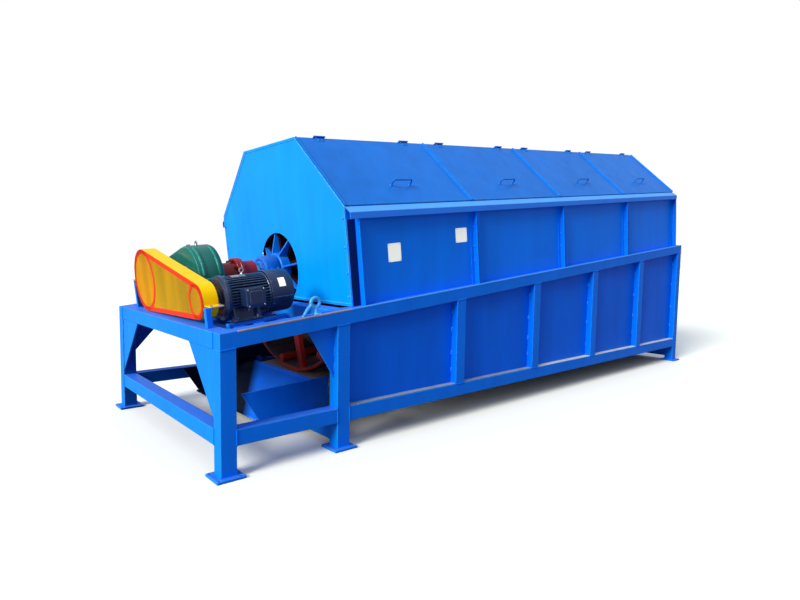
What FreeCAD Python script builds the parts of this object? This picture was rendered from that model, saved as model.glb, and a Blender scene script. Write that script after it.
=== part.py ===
import FreeCAD, Part
import math
import os
import re
import Sketcher
from FreeCAD import Placement, Rotation, Vector

# Trommel screen on a welded tube frame, millimetres and degrees.
# X runs along the machine from the drive and discharge end (-X) to the feed end (+X), +Z is up.
# The floor is Z = 0 and the origin is the middle of the footprint.
# The legs, posts and bottom rails stand level. The top rails, the drive, the hood and the drum
# share one slope that rises towards the feed end: s runs along it, n stands square on it.

os.makedirs("parts", exist_ok=True)
doc = FreeCAD.newDocument("trommel_screen")

SIZES = [
    ("frame_length", 6380, "outside of the legs, end to end"),
    ("frame_width", 2100, "outside of the legs, side to side"),
    ("tube", 100, "square tube of the frame"),
    ("rail_angle", 6, "slope of the top rails"),
    ("rail_height", 880, "top of the top rails at the drive end"),
    ("foot_size", 180, "side of a foot plate"),
    ("foot_thickness", 16, "foot plate"),
    ("anchor_pitch", 140, "anchor holes of a foot plate"),
    ("anchor_radius", 9, "anchor hole"),
    ("rail_bottom", 195, "underside of the bottom rails"),
    ("tie_bottom", 60, "underside of the low ties between the legs"),
    ("middle_leg", 832, "drive end face of the middle legs"),
    ("post_pitch", 1065, "posts of the long sides, counted from the feed end"),
    ("panel_recess", 62, "panels behind the outer face of the tubes"),
    ("panel_thickness", 5, "lower panels"),
    ("gusset_front", 400, "width of the corner plates across the drive end"),
    ("gusset_drop", 440, "height of the corner plates across the drive end"),
    ("gusset_near", 310, "side of the corner plate beside the left drive leg"),
    ("gusset_height", 365, "height of the corner plates on the long sides"),
    ("gusset_width", 215, "width of the corner plates on the long sides"),
    ("gusset_thickness", 10, "corner plates"),
    ("seat", 0.3, "running and seating clearance of loose pieces"),
    ("platform_drop", 30, "top of the drive beams below the top of the rails"),
    ("platform_beam", 70, "height and width of the drive beams"),
    ("axis_height", 245, "drum axis above the top of the rails"),
    ("hood_start", 1000, "front plate of the hood, from the drive end"),
    ("hood_tail", 139, "feed end of the hood short of the end of the rails"),
    ("bay_length", "=(frame_length / cos(rail_angle) - hood_tail - hood_start) / 4", "one of the four hood bays"),
    ("hood_inset", 65, "hood walls behind the outside of the rails"),
    ("hood_half_width", "=frame_width / 2 - hood_inset", "outside of the hood walls from the middle"),
    ("roof_margin", 128, "top of the flat roof strip over the hoops"),
    ("hood_height", "=axis_height + hoop_outer + roof_margin", "top of the flat roof strip"),
    ("wall_height", 699, "top of the hood walls"),
    ("roof_half_flat", 408, "half width of the flat roof strip"),
    ("sheet", 6, "hood walls, end plates and roof strip"),
    ("shaft_window", 295, "radius of the window round the shaft in the front plate"),
    ("shaft_margin", 10, "clearance round the shaft in the rear plate, and its end past the bearing"),
    ("rib_place", 6, "foot of the first wall rib, from the front face of the hood"),
    ("rib_width", 80, "foot of a wall rib"),
    ("rib_depth", 50, "wall rib, out from the wall"),
    ("rib_thickness", 5, "wall rib"),
    ("eave_width", 55, "eave angle, out from the wall"),
    ("eave_drop", 42, "fall of the sloping leaf of the eave"),
    ("eave_face", 44, "upright leaf of the eave"),
    ("rafter", 40, "square tube of the rafters"),
    ("lid_thickness", 4, "roof lid"),
    ("lid_gap", 6, "gap between neighbouring lids"),
    ("lid_edge", 20, "upturned side edge of a lid"),
    ("lid_leaf", 30, "length of the leaf, measured from the hinge axis"),
    ("lid_end", 4, "lower edge of a lid short of the eave"),
    ("hinge_lift", 14, "lid hinge axis above the edge of the roof strip"),
    ("barrel_radius", 10, "hinge barrel"),
    ("leaf_thickness", 7.7, "leaf from a lid to its hinge barrel"),
    ("pin_radius", 5, "hinge pin"),
    ("barrel_length", 60, "hinge barrel"),
    ("barrel_inset", 220, "middle of a barrel from the end of its lid"),
    ("bracket_length", 20, "bracket at each end of a hinge pin"),
    ("bracket_side", 7, "hinge bracket around the pin"),
    ("bracket_foot", 22, "hinge bracket on the roof strip"),
    ("handle_place", 208, "lid handle above the lower edge of its lid"),
    ("handle_length", 190, "lid handle"),
    ("handle_reach", 60, "lid handle, out from the lid"),
    ("handle_radius", 7, "round bar of a lid handle"),
    ("handle_leg", 6, "radius of the legs of a lid handle"),
    ("arm_turn", 35, "degrees that the spiders are turned"),
    ("feed_half_width", 300, "feed opening"),
    ("feed_bottom", 480, "feed opening above the rails"),
    ("feed_top", 880, "feed opening above the rails"),
    ("spout_length", 120, "feed spout"),
    ("drum_start", 1035, "discharge end of the drum"),
    ("drum_tail", 91, "drum short of the feed end of the hood"),
    ("drum_length", "=hood_start + 4 * bay_length - drum_tail - drum_start", "length of the drum"),
    ("drum_margin", 74, "hoops from the inside of the frame"),
    ("hoop_outer", "=frame_width / 2 - tube - drum_margin", "outside radius of the hoops"),
    ("hoop_depth", 20, "hoops over the screen plates"),
    ("hoop_length", 60, "hoop"),
    ("screen_outer", "=hoop_outer - hoop_depth", "outside radius of the screen plates"),
    ("screen_sheet", 6, "screen plates"),
    ("screen_inner", "=screen_outer - screen_sheet", "inside radius of the screen plates"),
    ("stave_gap", 0.4, "degrees between neighbouring screen plates"),
    ("pipe_radius", 34, "long pipes inside the screen"),
    ("arm_width", 70, "spider arm"),
    ("arm_length", 40, "spider arm along the shaft"),
    ("hub_radius", 130, "spider hub"),
    ("hub_length", 120, "spider hub"),
    ("shaft_radius", 60, "drum shaft"),
    ("shaft_fit", 0.05, "radial clearance of the shafts in their bores"),
    ("coupling_start", 475, "coupling, from the drive end"),
    ("coupling_length", 285, "coupling"),
    ("coupling_radius", 98, "coupling hub"),
    ("flange_radius", 126, "coupling flange"),
    ("flange_length", 60, "coupling flange"),
    ("bearing_length", 130, "bearing housing"),
    ("bearing_radius", 120, "bearing cap"),
    ("bearing_foot", 360, "width of the bearing foot"),
    ("bearing_base", 35, "height of the bearing foot"),
    ("stand_height", 90, "bearing stand"),
    ("stand_margin", 20, "bearing stand beside the bearing foot"),
    ("reducer_start", 222, "gear case, from the drive end"),
    ("reducer_length", 210, "gear case"),
    ("reducer_radius", 250, "round end over the large gear"),
    ("reducer_small", 150, "round end over the small gear"),
    ("gear_distance", 430, "input shaft beside the output shaft"),
    ("case_waist", 175, "straight side of the gear case from the output shaft"),
    ("case_foot", 25, "foot of the gear case"),
    ("split_height", 20, "split flange of the gear case"),
    ("split_reach", 15, "split flange beyond the round ends"),
    ("split_lip", 8, "split flange beyond the faces of the gear case"),
    ("output_radius", 45, "output shaft of the gear case"),
    ("input_radius", 30, "input shaft of the gear case"),
    ("socket_depth", 30, "shaft seats in the gear case and the motor"),
    ("motor_start", 195, "motor, from the drive end"),
    ("motor_length", 335, "motor body"),
    ("motor_radius", 140, "motor body over the fins"),
    ("motor_inset", 458, "motor axis behind the outside of the rails"),
    ("motor_side", "=frame_width / 2 - motor_inset", "motor axis from the middle"),
    ("motor_height", 160, "motor axis above its feet"),
    ("bell_place", 10, "end bell behind the face of the motor"),
    ("motor_foot_place", 40, "motor foot behind the face of the motor"),
    ("motor_foot_run", 201, "motor foot"),
    ("motor_foot_height", 20, "motor foot"),
    ("motor_web_width", 210, "web between the motor and its foot"),
    ("motor_web_height", 100, "web between the motor and its foot"),
    ("cowl_length", 170, "fan cowl"),
    ("cowl_radius", 150, "fan cowl"),
    ("foot_spread", 300, "motor foot, side to side"),
    ("slide_height", 20, "slide rails under the motor"),
    ("slide_width", 50, "slide rails under the motor"),
    ("slide_tail", 33.5, "slide rails beyond the last drive beam"),
    ("motor_shaft", 21, "radius of the motor shaft"),
    ("box_side", 125, "terminal box"),
    ("box_reach", 98, "terminal box, out from the motor"),
    ("box_root", 40, "terminal box over the curve of the motor"),
    ("guard_start", 60, "belt guard, from the drive end"),
    ("guard_depth", 95, "belt guard"),
    ("guard_sheet", 3, "belt guard"),
    ("guard_large", 240, "round end of the guard over the large pulley"),
    ("guard_small", 120, "round end of the guard over the small pulley"),
    ("pulley_large", 200, "large pulley"),
    ("pulley_small", 80, "small pulley"),
    ("pulley_length", 60, "both pulleys"),
    ("belt_thickness", 12, "belts"),
    ("right_post_gap", 76, "right guard post beside the small end of the guard"),
    ("bracket_right", "=motor_side + guard_small + right_post_gap", "right guard post from the middle"),
    ("left_post_gap", 130, "left guard post beside the large end of the guard"),
    ("bracket_left", "=gear_distance + guard_large + left_post_gap", "left guard post from the middle"),
    ("bracket_height", 125, "guard posts"),
    ("bracket_tall", 230, "left guard post"),
    ("bracket_place", 30, "right guard post, from the drive end"),
    ("bracket_set_back", 80, "left guard post, from the drive end"),
    ("tab_length", 120, "tab of the guard"),
    ("tab_thickness", 5, "tab of the guard"),
    ("rim_width", 24, "rim of the guard"),
    ("bracket_size", 35, "angle section of the guard posts"),
    ("chute_top", 390, "upper edge of the chute floor"),
    ("chute_top_x", 970, "upper edge of the chute floor, from the drive end"),
    ("chute_low", 166, "lower edge of the chute floor"),
    ("chute_low_x", 470, "lower edge of the chute floor, from the drive end"),
    ("chute_half_width", 550, "inside of the chute from the middle"),
    ("chute_nose", 110, "chute sides ahead of the floor"),
    ("chute_nose_height", 212, "chute sides at their nose"),
    ("chute_back", 1080, "feed end of the chute sides"),
    ("chute_back_height", 242, "chute sides at their feed end"),
    ("chute_heel", 25, "lower corner of the chute sides behind the floor edge"),
    ("chute_sheet", 8, "chute plates"),
    ("lug_place", 692, "lifting eye, from the drive end"),
    ("lug_height", 78, "centre of a lifting eye above the rail"),
    ("lug_radius", 45, "lifting eye"),
    ("lug_hole", 20, "hole of a lifting eye"),
    ("lug_thickness", 24, "lifting eye"),
]

# bay_length and drum_length count these bays too.
HOOD_BAYS = 4
POSTS = (1, 2, 3, 4)
STAVES = 12
ARMS = 8
HOOPS = 5

sheet = doc.addObject("Spreadsheet::Sheet", "Dims")
for row, (alias, value, meaning) in enumerate(SIZES, start=1):
    sheet.set("A%d" % row, meaning)
    sheet.setAlias("B%d" % row, alias)
for row, (alias, value, meaning) in enumerate(SIZES, start=1):
    sheet.set("B%d" % row, str(value))
doc.recompute()
ALIASES = {alias for alias, value, meaning in SIZES}
NODES = []


def dims(text):
    """Return the expression with each size read from the sheet."""
    return re.sub(r"[a-z_]+", lambda word: ("Dims." if word[0] in ALIASES else "") + word[0], str(text))


def size(alias):
    """Return one size as a number."""
    return float(getattr(sheet, alias))


def value_of(text):
    """Return the number that an expression has now."""
    value = sheet.evalExpression(dims(text))
    return float(getattr(value, "Value", value))


def bind(piece, **links):
    """Tie properties to expressions; a double underscore in a name stands for a dot."""
    for path, text in links.items():
        piece.setExpression(path.replace("__", "."), dims(text))
    return piece


def shift(piece, x="0", y="0", z="0"):
    """Tie the place of a piece to three expressions."""
    return bind(piece, Placement__Base__x=x, Placement__Base__y=y, Placement__Base__z=z)


def box(name, length, width, height, x="0", y="0", z="0"):
    """A block from its near lower corner."""
    piece = bind(doc.addObject("Part::Box", name), Length=length, Width=width, Height=height)
    return shift(piece, x, y, z)


def rod(name, radius, length, x="0", y="0", z="0"):
    """A round bar along X from its drive end."""
    piece = bind(doc.addObject("Part::Cylinder", name), Radius=radius, Height=length)
    piece.Placement = Placement(Vector(), Rotation(Vector(0, 1, 0), 90))
    return shift(piece, x, y, z)


def upright(name, radius, height, x="0", y="0", z="0"):
    """A round bar along Z from its lower end."""
    return shift(bind(doc.addObject("Part::Cylinder", name), Radius=radius, Height=height), x, y, z)


def across(name, radius, length, x="0", y="0", z="0"):
    """A round bar along Y from its -Y end."""
    piece = bind(doc.addObject("Part::Cylinder", name), Radius=radius, Height=length)
    piece.Placement = Placement(Vector(), Rotation(Vector(1, 0, 0), -90))
    return shift(piece, x, y, z)


def group(name, pieces):
    """Separate solids kept together."""
    piece = doc.addObject("Part::Compound", name)
    piece.Links = pieces
    return piece


def fuse(name, pieces):
    """Solids welded into one."""
    piece = doc.addObject("Part::MultiFuse", name)
    piece.Shapes = pieces
    return piece


def cut(name, base, tool):
    piece = doc.addObject("Part::Cut", name)
    piece.Base = base
    piece.Tool = tool
    return piece


def common(name, base, tool):
    piece = doc.addObject("Part::Common", name)
    piece.Base = base
    piece.Tool = tool
    return piece


def mirrored(name, source):
    """The same piece on the other long side."""
    piece = doc.addObject("Part::Mirroring", name)
    piece.Source = source
    piece.Normal = Vector(0, 1, 0)
    return piece


def turned(name, piece, angle, y="0", z="0"):
    """Turn a piece about an axis along X through the given place; the angle is an expression."""
    holder = group(name, [piece])
    holder.Placement = Placement(Vector(), Rotation(Vector(1, 0, 0), 1))
    bind(holder, Placement__Rotation__Angle=angle)
    return shift(holder, "0", y, z)


def tie_point(sketch, index, pair, place):
    """Hold the start of one sketch line at two expressions from the sketch origin."""
    for kind, expression, value in (("DistanceX", pair[0], place.x), ("DistanceY", pair[1], place.y)):
        rule = sketch.addConstraint(Sketcher.Constraint(kind, -1, 1, index, 1, value))
        name = "corner%d%s" % (index, kind[-1].lower())
        sketch.renameConstraint(rule, name)
        sketch.setExpression("Constraints." + name, dims(expression))


def plate(name, plane, points, thickness, start="0"):
    """A flat plate from a sketched outline of expression pairs, padded square to its plane.

    A plate drawn in XZ grows from its start towards -Y, and one drawn in YZ towards +X.
    """
    body = doc.addObject("PartDesign::Body", name + "_body")
    sketch = body.newObject("Sketcher::SketchObject", name + "_sketch")
    origin_plane = next(f for f in body.Origin.OriginFeatures if f.Role == plane + "_Plane")
    sketch.AttachmentSupport = [(origin_plane, "")]
    sketch.MapMode = "FlatFace"
    corners = [Vector(value_of(a), value_of(b), 0) for a, b in points]
    count = len(points)
    for index in range(count):
        sketch.addGeometry(Part.LineSegment(corners[index], corners[(index + 1) % count]), False)
    for index in range(count):
        sketch.addConstraint(Sketcher.Constraint("Coincident", index, 2, (index + 1) % count, 1))
    for index, pair in enumerate(points):
        tie_point(sketch, index, pair, corners[index])
    pad = body.newObject("PartDesign::Pad", name + "_pad")
    pad.Profile = sketch
    bind(pad, Length=thickness)
    bind(body, **{"Placement__Base__" + {"XZ": "y", "YZ": "x"}[plane]: start})
    return body


# Directions and places that several pieces share, as expressions.
RIGHT = "-frame_width / 2"
INSIDE = "frame_width / 2 - tube"
UNDER_RAIL = "(rail_height - tube / cos(rail_angle))"
FRONT_BEAM = "(middle_leg / cos(rail_angle))"
REAR_BEAM = "((frame_length - tube) / cos(rail_angle))"
ROOF = "atan((hood_height - wall_height) / (hood_half_width - roof_half_flat))"
HINGE_Y = "(roof_half_flat + hinge_lift * sin(%s))" % ROOF
HINGE_N = "(hood_height + hinge_lift * cos(%s))" % ROOF
LID_RUN = "((hood_half_width - roof_half_flat) / cos(%s) - lid_end)" % ROOF
HOOD_END = "(hood_start + %d * bay_length)" % HOOD_BAYS
MOTOR_N = "(slide_height + motor_height - platform_drop)"


def tilted(name, piece):
    """Put a piece that is drawn along the slope among the level ones."""
    holder = group(name, [piece])
    holder.Placement = Placement(Vector(), Rotation(Vector(0, -1, 0), size("rail_angle")))
    bind(holder, Placement__Rotation__Angle="rail_angle")
    return shift(holder, "0", "0", "rail_height")


def level(label, piece):
    """Finish a sub-part that is drawn level from the drive end."""
    whole = bind(group("whole_" + label, [piece]), Placement__Base__x="-frame_length / 2")
    whole.Label = label
    NODES.append(whole)


def slope(label, piece):
    """Finish a sub-part that is drawn along the slope."""
    whole = tilted("whole_" + label, piece)
    bind(whole, Placement__Base__x="-frame_length / 2")
    whole.Label = label
    NODES.append(whole)


def both_sides(name, piece):
    return group(name, [piece, mirrored(name + "_left", piece)])


def post_start(number):
    return "(frame_length - %d * post_pitch - tube)" % number


def over_rails(name):
    """Everything above the underside of the top rails."""
    block = box(name + "_block", "1.2 * frame_length", "1.2 * frame_width", "2 * hood_height",
                "-0.1 * frame_length", "-0.6 * frame_width", "-tube")
    return tilted(name, block)


def under_rails(name, piece):
    return cut(name, piece, over_rails(name + "_over"))


def frame_slice(name, piece):
    """Saw sloping members off upright at both ends of the frame."""
    room = box(name + "_room", "frame_length", "frame_width", "3 * hood_height", "0", RIGHT)
    return common(name, tilted(name + "_sloping", piece), room)


# The level part of the frame: feet, legs, bottom rails, posts and ties.
LEGS = ("0", "middle_leg", "frame_length - tube")

feet = []
for number, start in enumerate(LEGS):
    middle_x = "%s + tube / 2" % start
    corner_x = "%s - foot_size / 2" % middle_x
    foot = box("foot%d" % number, "foot_size", "foot_size", "foot_thickness",
               corner_x, "tube / 2 - foot_size / 2 - frame_width / 2")
    holes = []
    for side_x in (-1, 1):
        for side_y in (-1, 1):
            holes.append(upright("anchor%d" % len(doc.Objects), "anchor_radius", "2 * foot_thickness",
                                 "%s + %d * anchor_pitch / 2" % (middle_x, side_x),
                                 "tube / 2 - frame_width / 2 + %d * anchor_pitch / 2" % side_y,
                                 "-foot_thickness / 2"))
    feet.append(cut("drilled_foot%d" % number, foot, group("anchors%d" % number, holes)))
level("foot_plates", both_sides("feet", group("feet_right", feet)))

legs = [box("leg%d" % number, "tube", "tube", "2 * rail_height", start, RIGHT, "foot_thickness")
        for number, start in enumerate(LEGS)]
level("legs", both_sides("legs_all", under_rails("legs_right", group("leg_stock", legs))))

RAIL_SPANS = (("tube", "middle_leg"), ("middle_leg + tube", "frame_length - tube"))
rails = [box("bottom_rail%d" % number, "%s - (%s)" % (end, start), "tube", "tube", start, RIGHT, "rail_bottom")
         for number, (start, end) in enumerate(RAIL_SPANS)]
end_rail = box("bottom_rail_drive_end", "tube", "2 * (%s)" % INSIDE, "tube", "0", "-(%s)" % INSIDE, "rail_bottom")
level("bottom_rails", group("bottom_rails_all", [both_sides("bottom_rail_pairs", group("bottom_rails_right", rails)),
                                                 end_rail]))

posts = [box("post%d" % number, "tube", "tube", "2 * rail_height", post_start(number), RIGHT, "rail_bottom + tube")
         for number in POSTS]
level("frame_posts", both_sides("posts_all", under_rails("posts_right", group("post_stock", posts))))

ties = [box("low_tie%d" % number, "tube", "2 * (%s)" % INSIDE, "tube", start, "-(%s)" % INSIDE, "tie_bottom")
        for number, start in enumerate(LEGS[1:])]
level("low_ties", group("ties", ties))

# The sloping part of the frame: top rails, cross beams and the beams that carry the drive.
top_rail = box("top_rail", "1.1 * frame_length + tube", "tube", "tube", "-tube", RIGHT, "-tube")
level("top_rails", frame_slice("top_rails_all", both_sides("top_rail_pair", top_rail)))

BEAMS = (("-tube", "2 * tube"), (FRONT_BEAM, "tube"), (REAR_BEAM, "2 * tube"))
beams = [box("cross_beam%d" % number, length, "2 * (%s)" % INSIDE, "tube", start, "-(%s)" % INSIDE, "-tube")
         for number, (start, length) in enumerate(BEAMS)]
level("cross_beams", frame_slice("cross_beams_all", group("beam_stock", beams)))

DRIVE_BEAMS = ("reducer_start", "reducer_start + reducer_length - platform_beam", "motor_start + motor_length")
drive_beams = [box("drive_beam%d" % number, "platform_beam", "2 * (%s)" % INSIDE, "platform_beam",
                   start, "-(%s)" % INSIDE, "-platform_drop - platform_beam")
               for number, start in enumerate(DRIVE_BEAMS)]
slope("platform_beams", group("platform", drive_beams))

# Corner plates: two across the drive end, one beside each middle leg, one beside the left drive leg.
corner = "(%s)" % INSIDE
front_corner = plate("front_corner", "YZ", [
    ("-" + corner, UNDER_RAIL),
    ("-" + corner, UNDER_RAIL + " - gusset_drop"),
    ("gusset_front - " + corner, UNDER_RAIL)], "gusset_thickness", "gusset_thickness / 2")
side_corner = plate("side_corner", "XZ", [
    ("middle_leg", UNDER_RAIL + " + middle_leg * tan(rail_angle)"),
    ("middle_leg - gusset_width", UNDER_RAIL + " + (middle_leg - gusset_width) * tan(rail_angle)"),
    ("middle_leg", UNDER_RAIL + " + middle_leg * tan(rail_angle) - gusset_height")],
    "gusset_thickness", "(gusset_thickness + tube - frame_width) / 2")
near_corner = plate("near_corner", "XZ", [
    ("tube", UNDER_RAIL + " + tube * tan(rail_angle)"),
    ("tube", UNDER_RAIL + " + tube * tan(rail_angle) - gusset_near"),
    ("tube + gusset_near", UNDER_RAIL + " + (tube + gusset_near) * tan(rail_angle)")],
    "gusset_thickness", "(gusset_thickness - tube + frame_width) / 2")
corners = both_sides("corners", group("corners_right", [front_corner, side_corner]))
level("gusset_plates", group("corner_plates", [corners, near_corner]))

# Lower panels between the legs and posts of the long sides, and one across the feed end.
BAY_EDGES = ["middle_leg"] + [post_start(number) for number in reversed(POSTS)] + ["frame_length - tube"]
panels = []
for number, start in enumerate(BAY_EDGES[:-1]):
    panels.append(box("panel%d" % number, "%s - %s - tube" % (BAY_EDGES[number + 1], start),
                      "panel_thickness", "2 * rail_height",
                      start + " + tube", "panel_recess - frame_width / 2", "rail_bottom + tube"))
right_panels = under_rails("panels_right", group("panel_stock", panels))
left_panels = mirrored("panels_left", right_panels)
level("lower_panels_left", left_panels)
level("lower_panels_right", right_panels)

end_panel = box("end_panel", "panel_thickness", "2 * (%s)" % INSIDE, "2 * rail_height",
                "frame_length - panel_recess - panel_thickness", "-(%s)" % INSIDE, "tie_bottom + tube")
level("rear_lower_panel", under_rails("end_panel_cut", end_panel))

# Discharge chute: a sloping floor between two upright sides, standing on the low tie of the middle legs.
CHUTE_FOOT = "(tie_bottom + tube + seat)"
FLOOR_DEPTH = "chute_sheet / cos(atan((chute_top - chute_low) / (chute_top_x - chute_low_x)))"
floor = plate("chute_floor", "XZ", [
    ("chute_low_x", "chute_low"),
    ("chute_top_x", "chute_top"),
    ("chute_top_x", "chute_top - " + FLOOR_DEPTH),
    ("chute_low_x", "chute_low - " + FLOOR_DEPTH)], "2 * chute_half_width", "chute_half_width")
side = plate("chute_side", "XZ", [
    ("chute_low_x - chute_nose", CHUTE_FOOT + " + chute_nose_height"),
    ("chute_back", CHUTE_FOOT + " + chute_back_height"),
    ("chute_back", CHUTE_FOOT),
    ("chute_low_x + chute_heel", CHUTE_FOOT)], "chute_sheet", "-chute_half_width")
level("discharge_chute", fuse("chute", [floor, side, mirrored("chute_side_left", side)]))

# Hood: two end plates, two walls with ribs and eave angles, a flat roof strip on rafters.
HOOD_OUTLINE = [
    ("-hood_half_width", "0"),
    ("hood_half_width", "0"),
    ("hood_half_width", "wall_height"),
    ("roof_half_flat", "hood_height"),
    ("-roof_half_flat", "hood_height"),
    ("-hood_half_width", "wall_height")]
WALL_RUN = "(%s - hood_start - 2 * sheet)" % HOOD_END
window = rod("window", "shaft_window", "3 * sheet", "hood_start - sheet", "0", "axis_height")
slope("hood_front_plate", cut("front_plate_open", plate("front_plate", "YZ", HOOD_OUTLINE, "sheet", "hood_start"),
                              window))
rear_plate = plate("rear_plate", "YZ", HOOD_OUTLINE, "sheet", HOOD_END + " - sheet")
shaft_hole = rod("shaft_hole", "shaft_radius + shaft_margin", "3 * sheet", HOOD_END + " - 2 * sheet",
                 "0", "axis_height")
feed_hole = box("feed_hole", "3 * sheet", "2 * feed_half_width", "feed_top - feed_bottom",
                HOOD_END + " - 2 * sheet", "-feed_half_width", "feed_bottom")
slope("hood_rear_plate", cut("rear_plate_open", rear_plate, group("rear_holes", [shaft_hole, feed_hole])))

wall = box("hood_wall", WALL_RUN, "sheet", "wall_height", "hood_start + sheet", "-hood_half_width", "0")
slope("hood_wall_left", mirrored("hood_wall_mirror", wall))
slope("hood_wall_right", wall)

RIB_HEIGHT = "(wall_height - eave_drop - eave_face - seat)"


def rib_foot(name, start, length):
    return box(name, length, "rib_thickness", RIB_HEIGHT, start, "-hood_half_width - rib_thickness", "0")


def rib_fin(name, start, length):
    return box(name, length, "rib_depth", RIB_HEIGHT, start, "-hood_half_width - rib_depth", "0")


END_RIB = "hood_start + rib_place"
ribs = [fuse("end_rib", [
    rib_foot("end_rib_foot", END_RIB, "rib_width"),
    rib_fin("end_rib_far", END_RIB + " + rib_width - rib_thickness", "rib_thickness")])]
for number in range(1, HOOD_BAYS):
    seam = "hood_start + %d * bay_length" % number
    ribs.append(fuse("rib%d" % number, [
        rib_foot("rib_foot%d" % number, seam + " - rib_width / 2", "rib_width"),
        rib_fin("rib_fin%d" % number, seam + " - rib_thickness", "2 * rib_thickness")]))
ribs.append(fuse("feed_rib", [
    rib_foot("feed_rib_foot", HOOD_END + " - rib_width / 2", "rib_width / 2"),
    rib_fin("feed_rib_fin", HOOD_END + " - rib_thickness", "rib_thickness")]))
right_ribs = group("ribs_right", ribs)
slope("hood_ribs_left", mirrored("ribs_left", right_ribs))
slope("hood_ribs_right", right_ribs)

EAVE_RUN = "%s - hood_start - sheet" % HOOD_END
eave = plate("eave", "YZ", [
    ("-hood_half_width", "wall_height"),
    ("-hood_half_width - eave_width", "wall_height - eave_drop"),
    ("-hood_half_width - eave_width", "wall_height - eave_drop - eave_face"),
    ("rib_thickness - hood_half_width - eave_width", "wall_height - eave_drop - eave_face"),
    ("rib_thickness - hood_half_width - eave_width", "wall_height - eave_drop - rib_thickness / 2"),
    ("-hood_half_width", "wall_height - 1.5 * rib_thickness")], EAVE_RUN, "hood_start + sheet")
slope("eave_angles", both_sides("eaves", eave))

strip = box("roof_strip", WALL_RUN, "2 * roof_half_flat", "sheet",
            "hood_start + sheet", "-roof_half_flat", "hood_height - sheet")
slope("roof_top_panel", strip)

RAFTERS = ["hood_start + sheet"]
for number in range(1, HOOD_BAYS):
    RAFTERS.append("hood_start + %d * bay_length - rafter / 2" % number)
RAFTERS.append(HOOD_END + " - sheet - rafter")
rafters = []
for number, start in enumerate(RAFTERS):
    leg = box("rafter_leg%d" % number, "rafter",
              "(hood_half_width - sheet - roof_half_flat - seat) / cos(%s) - rib_thickness" % ROOF, "rafter",
              start, "-(hood_half_width - sheet - roof_half_flat - seat) / cos(%s)" % ROOF, "-hinge_lift - rafter")
    leg = turned("rafter_turned%d" % number, leg, ROOF, "-" + HINGE_Y, HINGE_N)
    collar = box("rafter_collar%d" % number, "rafter", "2 * roof_half_flat", "rafter",
                 start, "-roof_half_flat", "hood_height - sheet - rafter")
    rafters.append(fuse("rafter%d" % number, [leg, mirrored("rafter_left%d" % number, leg), collar]))
slope("roof_rafters", group("rafters", rafters))

# Eight roof lids, four a side, each on two hinges at the edge of the roof strip.
LID_FLOOR = "(seat - hinge_lift)"
HANDLE_DROP = "(%s - handle_place)" % LID_RUN


def lid_start(number):
    return "(hood_start + %d * bay_length + lid_gap / 2)" % number


def barrel_starts(number):
    near = "(%s + barrel_inset - barrel_length / 2)" % lid_start(number)
    far = "(%s + bay_length - lid_gap - barrel_inset - barrel_length / 2)" % lid_start(number)
    return (near, far)


def roof_lid(number):
    """One lid of the right side, drawn about its hinge axis with its plate towards -Y."""
    name = "lid%d_" % number
    start = lid_start(number)
    middle = "(%s + (bay_length - lid_gap) / 2)" % start
    width = LID_RUN + " - hinge_lift"
    pieces = [box(name + "plate", "bay_length - lid_gap", width, "lid_thickness", start, "-" + LID_RUN, LID_FLOOR)]
    for edge, place in enumerate((start, start + " + bay_length - lid_gap - lid_thickness")):
        pieces.append(box(name + "edge%d" % edge, "lid_thickness", width, "lid_edge", place, "-" + LID_RUN, LID_FLOOR))
    bores = []
    for end, place in enumerate(barrel_starts(number)):
        pieces.append(rod(name + "barrel%d" % end, "barrel_radius", "barrel_length", place))
        pieces.append(box(name + "leaf%d" % end, "barrel_length", "lid_leaf", "leaf_thickness",
                          place, "-lid_leaf", LID_FLOOR))
        bores.append(rod(name + "bore%d" % end, "pin_radius + shaft_fit", "2 * barrel_length",
                         place + " - barrel_length / 2"))
    for end in (-1, 1):
        pieces.append(upright(name + "handle_leg%d" % (end + 1), "handle_leg", "handle_reach",
                              "%s + %d * handle_length / 2" % (middle, end), "-" + HANDLE_DROP, LID_FLOOR))
    pieces.append(rod(name + "handle_bar", "handle_radius", "handle_length + 3 * handle_radius",
                      middle + " - (handle_length + 3 * handle_radius) / 2", "-" + HANDLE_DROP,
                      LID_FLOOR + " + handle_reach"))
    bored = cut(name + "bored", fuse(name + "welded", pieces), group(name + "bores", bores))
    return turned(name + "right", bored, ROOF, "-" + HINGE_Y, HINGE_N)


def roof_hinge(name, place):
    """A pin between two brackets that stand on the edge of the roof strip."""
    pieces = [rod(name + "_pin", "pin_radius", "barrel_length + 2 * seat + 2 * bracket_length",
                  place + " - seat - bracket_length", "-" + HINGE_Y, HINGE_N)]
    for end, start in enumerate((place + " - seat - bracket_length", place + " + barrel_length + seat")):
        pieces.append(box(name + "_bracket%d" % end, "bracket_length",
                          HINGE_Y + " + bracket_side - roof_half_flat + bracket_foot",
                          HINGE_N + " + bracket_side - hood_height",
                          start, "-%s - bracket_side" % HINGE_Y, "hood_height"))
    return fuse(name, pieces)


hinges = []
for number in range(HOOD_BAYS):
    right_lid = roof_lid(number)
    slope("lid_left_%d" % (number + 1), mirrored("lid_mirror%d" % number, right_lid))
    slope("lid_right_%d" % (number + 1), right_lid)
    for end, place in enumerate(barrel_starts(number)):
        hinges.append(roof_hinge("hinge%d_%d" % (number, end), place))
slope("roof_hinges", both_sides("hinges", group("hinges_right", hinges)))

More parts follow.
